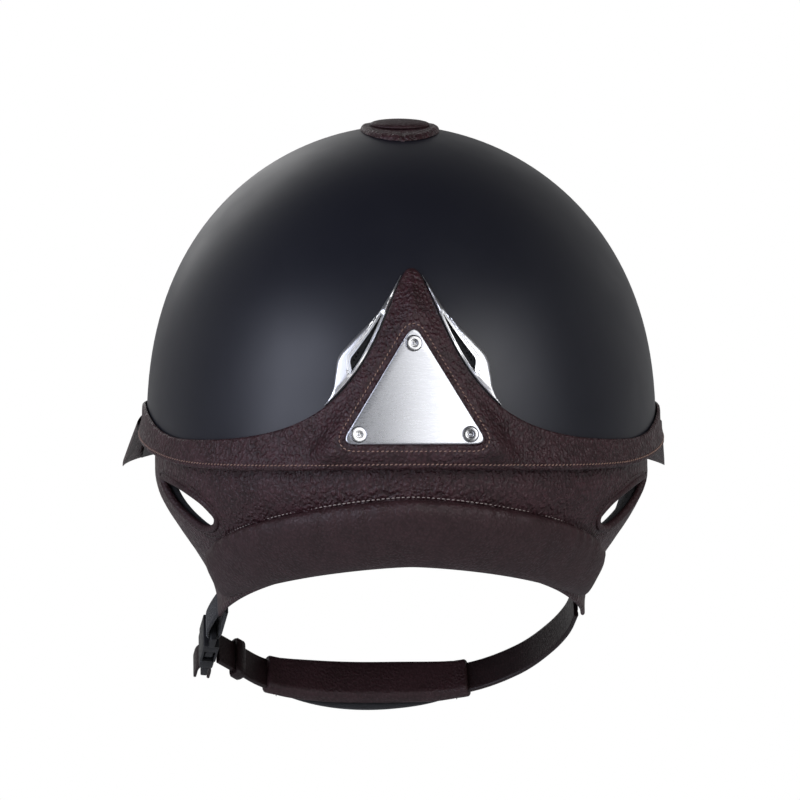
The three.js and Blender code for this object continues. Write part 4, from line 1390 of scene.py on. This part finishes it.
def strap_loft(name, first, last, steps, section, material, change):
    """A run of the strap's length with one section, which change() alters along the way."""
    sections = []
    for share in np.linspace(first, last, steps):
        across, depth = change((share - first) / (last - first), *section.T)
        sections.append(on_strap(share, across, depth))
    return loft(name, np.stack(sections), material, 60)


def strap_stitches(share, across, depth, thread_used, **options):
    """Stitches along the strap's outer face."""
    place = on_strap(share, across, depth)
    return stitches("seam", place, on_strap(share, across, depth - 4) - place, thread_used, **options)


HALF_STRAP = STRAP_THICK / 2
PAD_FROM, PAD_TO = share_at(-31.5), share_at(58)
PAD_WIDTH = 19.5
KEEPER_FROM, KEEPER_TO = share_at(69), share_at(72.6)
LOWER_SEAM, UPPER_SEAM = -4.6, 5.6  # across the strap
PAD_LENGTH = 96.0


def to_buckle(obj, name, *nodes):
    """Names a strap piece, bakes its placing into its mesh and hides the CAD nodes it stands for."""
    obj.name = name
    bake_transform(obj)
    if nodes:
        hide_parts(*nodes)


def make_chin_strap():
    section = rounded_section(STRAP_WIDTH, -HALF_STRAP, HALF_STRAP, 0.8, 26)

    def pressed(_share, across, depth):
        crease = 0.22 * bell(across, LOWER_SEAM, 0.5) + 0.2 * bell(across, UPPER_SEAM, 0.4)
        return across, depth + crease * (depth < 0)

    strap = strap_loft("strap", 0, 1, 260, section, DARK_LEATHER, pressed)
    to_buckle(strap, "chin_strap_leather", "chin_strap")
    share = np.linspace(0.01, 0.99, 700)
    for word, across, thread_used in (("lower", LOWER_SEAM, TAN_THREAD), ("upper", UPPER_SEAM, DARK_THREAD)):
        across, depth = np.full(700, across), np.full(700, -HALF_STRAP + 0.12)
        size = {"pitch": 2.4, "length": 1.9, "radius": 0.26, "lift": 0.12}
        seam = strap_stitches(share, across, depth, thread_used, **size)
        to_buckle(seam, f"strap_seam_{word}")


def make_chin_pad():
    """Padded leather sleeve on the strap, hemmed at both ends, and its lining."""
    section = rounded_section(PAD_WIDTH, -3.6, 3.8, 2.6, 30, crown=0.9)

    def hemmed(share, across, depth):
        end = min(share, 1 - share) * PAD_LENGTH
        tuck = 0.9 * (1 - edge_round(end, 1.2))
        place = stack(share * PAD_LENGTH, across, depth)
        wrinkle = 0.28 * ripple(place, 7, 2) * (depth < 0) * min(end / 6, 1)
        scale = 1 - (0.45 * bell(end, 6.2, 0.8) + tuck) / 9
        taper = 1 - 0.09 * bell(end, 0, 16)
        return across * (1 - tuck / 14) * taper, depth * scale * mix(taper, 1, 0.5) - wrinkle

    pad = strap_loft("pad", PAD_FROM, PAD_TO, 170, section, SMOOTH_BROWN, hemmed)
    part(pad, "chin_pad_leather", "leather_brown", "chin_pad", body="chin_strap")

    def slimmed(share, across, depth):
        fullness = math.sin(math.pi * share) ** 0.6
        return across * mix(0.6, 1, fullness) + 2 * (1 - fullness), mix(-3.9, depth, mix(0.35, 1, fullness))

    back = rounded_section(17, -7.5, -3.9, 1.6, 24, shift=-2)
    backing = strap_loft("backing", PAD_FROM + 0.04, PAD_TO - 0.04, 120, back, LINER_CLOTH, slimmed)
    part(backing, "chin_pad_lining", "liner_fabric", "chin_pad_backing", body="chin_strap")
    across = np.linspace(-7.8, 7.8, 60)
    depth = -2.95 - 0.9 * (1 - (across / (PAD_WIDTH / 2)) ** 2)
    for word, share in (("start", 0.065), ("end", 0.935)):
        at = np.full(60, mix(PAD_FROM, PAD_TO, share))
        seam = strap_stitches(at, across, depth, DARK_THREAD, pitch=2.0, length=1.4, radius=0.22)
        part(seam, f"chin_pad_hem_{word}", "leather_brown", body="chin_strap")


def make_keeper():
    """Narrow leather loop that holds the strap's end."""
    outer = rounded_section(STRAP_WIDTH + 4, -HALF_STRAP - 2, HALF_STRAP + 2, 1.7, 20)
    inner = rounded_section(STRAP_WIDTH + 1.2, -HALF_STRAP - 0.6, HALF_STRAP + 0.6, 0.9, 20)
    shortest = min(len(outer), len(inner))
    outer, inner = closed_resampled(outer, 1.0)[:shortest], closed_resampled(inner, 1.0)
    count = min(len(outer), len(inner))
    sections = []
    for j in range(count):
        o, i = outer[j * len(outer) // count], inner[j * len(inner) // count]
        rim = [(0, i), (0, mix(i, o, 0.75)), (0.15, o), (0.85, o), (1, mix(i, o, 0.75)), (1, i)]
        sections.append([on_strap(mix(KEEPER_FROM, KEEPER_TO, share), *point) for share, point in rim])
    keeper = ring_of_sections("keeper", np.array(sections), DARK_LEATHER, 50)
    part(keeper, "leather_keeper", "leather_dark", "strap_keeper", body="keeper")


make_chin_strap()
make_chin_pad()
make_keeper()

# ---------- buckle and its loops ----------

BUCKLE = {"width": 17.6, "thick": 7.0, "socket": 11.0, "plug": 5.0, "frame": 5.6, "bar": 1.8, "tongue": 8.5}
ARM_PLACE = 5.6  # the squeeze arms' distance from the buckle's middle
GRIP_STEP = 1.4  # and how far out their grips stand
BUCKLE_UP = unit(np.array([-0.16, 0, 0]) - DOWN)
BUCKLE_IN = unit(np.cross(BREADTH, BUCKLE_UP))
BUCKLE_ORIGIN = hang(84.1, 22.5)


def on_buckle(points):
    """Points of the buckle's own frame: across the strap, up it and in towards the face."""
    x, y, z = points[..., :1], points[..., 1:2], points[..., 2:]
    return BUCKLE_ORIGIN + x * BREADTH + y * BUCKLE_UP + z * BUCKLE_IN


def buckle_box(x, y0, y1, z):
    return block((-x, y0, -z), (x, y1, z), PLASTIC, on_buckle)


def arm_box(x, low, high, radius):
    """A rounded bar of a squeeze arm."""
    return rounded(block((x - 1.1, low, -1.9), (x + 1.1, high, 1.9), PLASTIC, on_buckle), radius)


def web_frame(low, high, slot_low, slot_high):
    """Frame with a slot for webbing."""
    wide = BUCKLE["width"] / 2
    slot = buckle_box(wide - 2.2, slot_low, slot_high, 5)
    return rounded(cut(buckle_box(wide, low, high, 1.4), slot), 0.45)


def make_buckle():
    wide, thick = BUCKLE["width"] / 2, BUCKLE["thick"] / 2
    top = BUCKLE["socket"] + BUCKLE["frame"]
    low = -BUCKLE["plug"] - BUCKLE["frame"]
    hollow = buckle_box(wide - 1.6, -1, BUCKLE["socket"] - 2, 2.4)
    body = cut(buckle_box(wide, 0, BUCKLE["socket"], thick), hollow, buckle_box(wide + 1, -1, 7, 2.4))
    ring = web_frame(BUCKLE["socket"] - 0.5, top, BUCKLE["socket"] + 0.7, top - BUCKLE["bar"])
    socket = joined("socket", [rounded(body, 0.8), ring])
    part(socket, "buckle_socket_moulded", "buckle_plastic", "buckle_socket", body="chin_strap")
    body = rounded(buckle_box(wide, -BUCKLE["plug"] - 0.4, -0.4, thick - 0.4), 1.0)
    tongue = rounded(buckle_box(1.6, -1, BUCKLE["tongue"] - 1, 1.5), 0.5)
    ring = web_frame(low, -BUCKLE["plug"], low + BUCKLE["bar"], -BUCKLE["plug"] - 1.2)
    plug = joined("plug", [body, tongue, ring])
    part(plug, "buckle_plug_moulded", "buckle_plastic", "buckle_plug", body="buckle_plug")
    for word, side in (("front", 1), ("rear", -1)):
        stalk = arm_box(ARM_PLACE * side, 0, BUCKLE["tongue"] - 1, 0.5)
        grip = arm_box((ARM_PLACE + GRIP_STEP) * side, 2.4, 6.2, 0.7)
        arm = joined("arm", [stalk, grip])
        part(arm, f"squeeze_arm_{word}", "buckle_plastic", f"buckle_arm_{word}", body=f"arm_{word}")


def doubled_band(name, end, turn, width, material, lean=0.0):
    """A band doubled round a bar, both legs running to end; the outer one leans in by lean there."""
    thick, middle = 1.3, 2.95
    way = math.copysign(1, turn - end)
    bend = turn - way * middle * 1.6
    legs = [(-middle, y) for y in np.linspace(end, bend, 8)]
    half_turn = np.linspace(0, math.pi, 18)[1:-1]
    arc = [(-middle * math.cos(t), bend + way * middle * 1.6 * math.sin(t)) for t in half_turn]
    line = resampled(np.array(legs + arc + [(-x, y) for x, y in legs[::-1]]), 0.8)
    outer = line[:, 0] < 0
    line[outer, 0] += lean * ((line[outer, 1] - turn) / (end - turn)) ** 2
    along = unit(np.gradient(line, axis=0))
    across, depth = rounded_section(width, -thick / 2, thick / 2, thick * 0.42, 16).T
    x, y = (line[:, k, None] + depth * normal[:, None] for k, normal in ((0, -along[:, 1]), (1, along[:, 0])))
    return loft(name, on_buckle(stack(across, y, x)), material, 60)


def make_loops():
    bar = BUCKLE["socket"] + BUCKLE["frame"] - BUCKLE["bar"]
    web = doubled_band("web", bar + 18.5, bar - 1.9, 12, WEBBING, 3.0)
    part(web, "webbing_hanger", "webbing_black", "webbing_loop", body="chin_strap")
    bar = BUCKLE["bar"] - BUCKLE["plug"] - BUCKLE["frame"]
    fold = doubled_band("fold", bar - 7, bar + 1.8, 12.6, DARK_LEATHER)
    part(fold, "strap_turnback", "leather_dark", "strap_fold", body="buckle_plug")


make_buckle()
make_loops()

# ---------- what stays as it is in the frame ----------

for place in ("rear_left", "front_left", "front_right", "rear_right"):
    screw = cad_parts[f"harness_screw_{place}"]
    for slot in screw.material_slots:
        slot.material = STEEL

# ---------- floor, light and camera ----------

FLOOR_HEIGHT = -400.0
FLOOR_RADIUS = 1600.0
VIEW_AZIMUTH = 177.4
VIEW_ELEVATION = 2.0
VIEW_DISTANCE = 2.5
FIELD_WIDTH = 0.3478
SENSOR_WIDTH = 36.0
VIEW_TARGET = Vector((0.0005, 0.020, 0.026))


def direction(azimuth, elevation):
    """Unit vector from the helmet towards a viewer at an azimuth and elevation in degrees."""
    a, e = math.radians(azimuth), math.radians(elevation)
    return Vector((math.sin(a) * math.cos(e), -math.cos(a) * math.cos(e), math.sin(e)))


def make_floor():
    """Pale disc with a rounded rim, well below the helmet."""
    inner, outer = FLOOR_RADIUS - 8, FLOOR_RADIUS
    rim = [(0, 0), (outer / 2, 0), (inner, 0), (outer, -8), (inner, -16), (0, -16)]
    floor = turned("floor", rim, 96, lambda points: points + np.array([0, 0, FLOOR_HEIGHT]), pale_floor())
    floor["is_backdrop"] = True


def stand(obj, azimuth, elevation, distance):
    """Puts a light or the camera round the helmet, facing it."""
    bpy.context.scene.collection.objects.link(obj)
    away = direction(azimuth, elevation)
    obj.location = VIEW_TARGET + away * distance
    obj.rotation_euler = away.to_track_quat("Z", "Y").to_euler()


def soft_light(name, azimuth, elevation, distance, width, height, power, color=(1, 1, 1)):
    """Rectangular softbox facing the helmet."""
    data = bpy.data.lights.new(name, "AREA")
    data.shape = "RECTANGLE"
    data.size, data.size_y = width, height
    data.energy = power
    data.color = color
    stand(bpy.data.objects.new(name, data), azimuth, elevation, distance)


def make_world():
    """White to the eye; for the helmet, bright ahead of the peak and dim behind the nape."""
    world = bpy.data.worlds.new("studio")
    bpy.context.scene.world = world
    world.use_nodes = True
    world.node_tree.nodes.clear()
    sky = Nodes(world.node_tree)
    white = (1, 1, 1, 1)
    split = sky.node("ShaderNodeSeparateXYZ", Vector=sky.node("ShaderNodeTexCoord").outputs["Generated"])
    ahead = sky.ramp(split.outputs["Y"], 0.1, -0.8, 0.06, 0.36)
    overhead = sky.ramp(split.outputs["Z"], 0.35, 0.85, 1.0, 0.08)
    unseen = sky.node("ShaderNodeBackground", Color=white, Strength=sky.math("MULTIPLY", ahead, overhead))
    seen = sky.node("ShaderNodeBackground", Color=white)
    both = sky.node("ShaderNodeMixShader", Fac=sky.node("ShaderNodeLightPath").outputs["Is Camera Ray"])
    sky.put(both.inputs[1], unseen.outputs[0])
    sky.put(both.inputs[2], seen.outputs[0])
    sky.node("ShaderNodeOutputWorld", Surface=both.outputs[0])


def make_camera():
    data = bpy.data.cameras.new("camera")
    data.sensor_width = SENSOR_WIDTH
    data.lens = SENSOR_WIDTH * VIEW_DISTANCE / FIELD_WIDTH
    data.clip_end = 100
    camera = bpy.data.objects.new("camera", data)
    stand(camera, VIEW_AZIMUTH, VIEW_ELEVATION, VIEW_DISTANCE)
    bpy.context.scene.camera = camera


make_floor()
make_world()
soft_light("left_softbox", 127, 15, 2.4, 1.5, 2.2, 35, (0.80, 0.84, 1.0))
soft_light("right_softbox", 232, 16, 2.4, 0.9, 2.2, 10, (0.90, 0.92, 1.0))
soft_light("nape_softbox", 204, 24, 3.0, 2.2, 2.0, 30)
soft_light("front_softbox", 20, 25, 2.4, 1.2, 1.2, 5)
make_camera()
bpy.context.scene.view_settings.view_transform = "Standard"

boxes = {"cad": cad_bounds, "visual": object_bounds()}
{name: [list(corner) for corner in box] for name, box in boxes.items()}
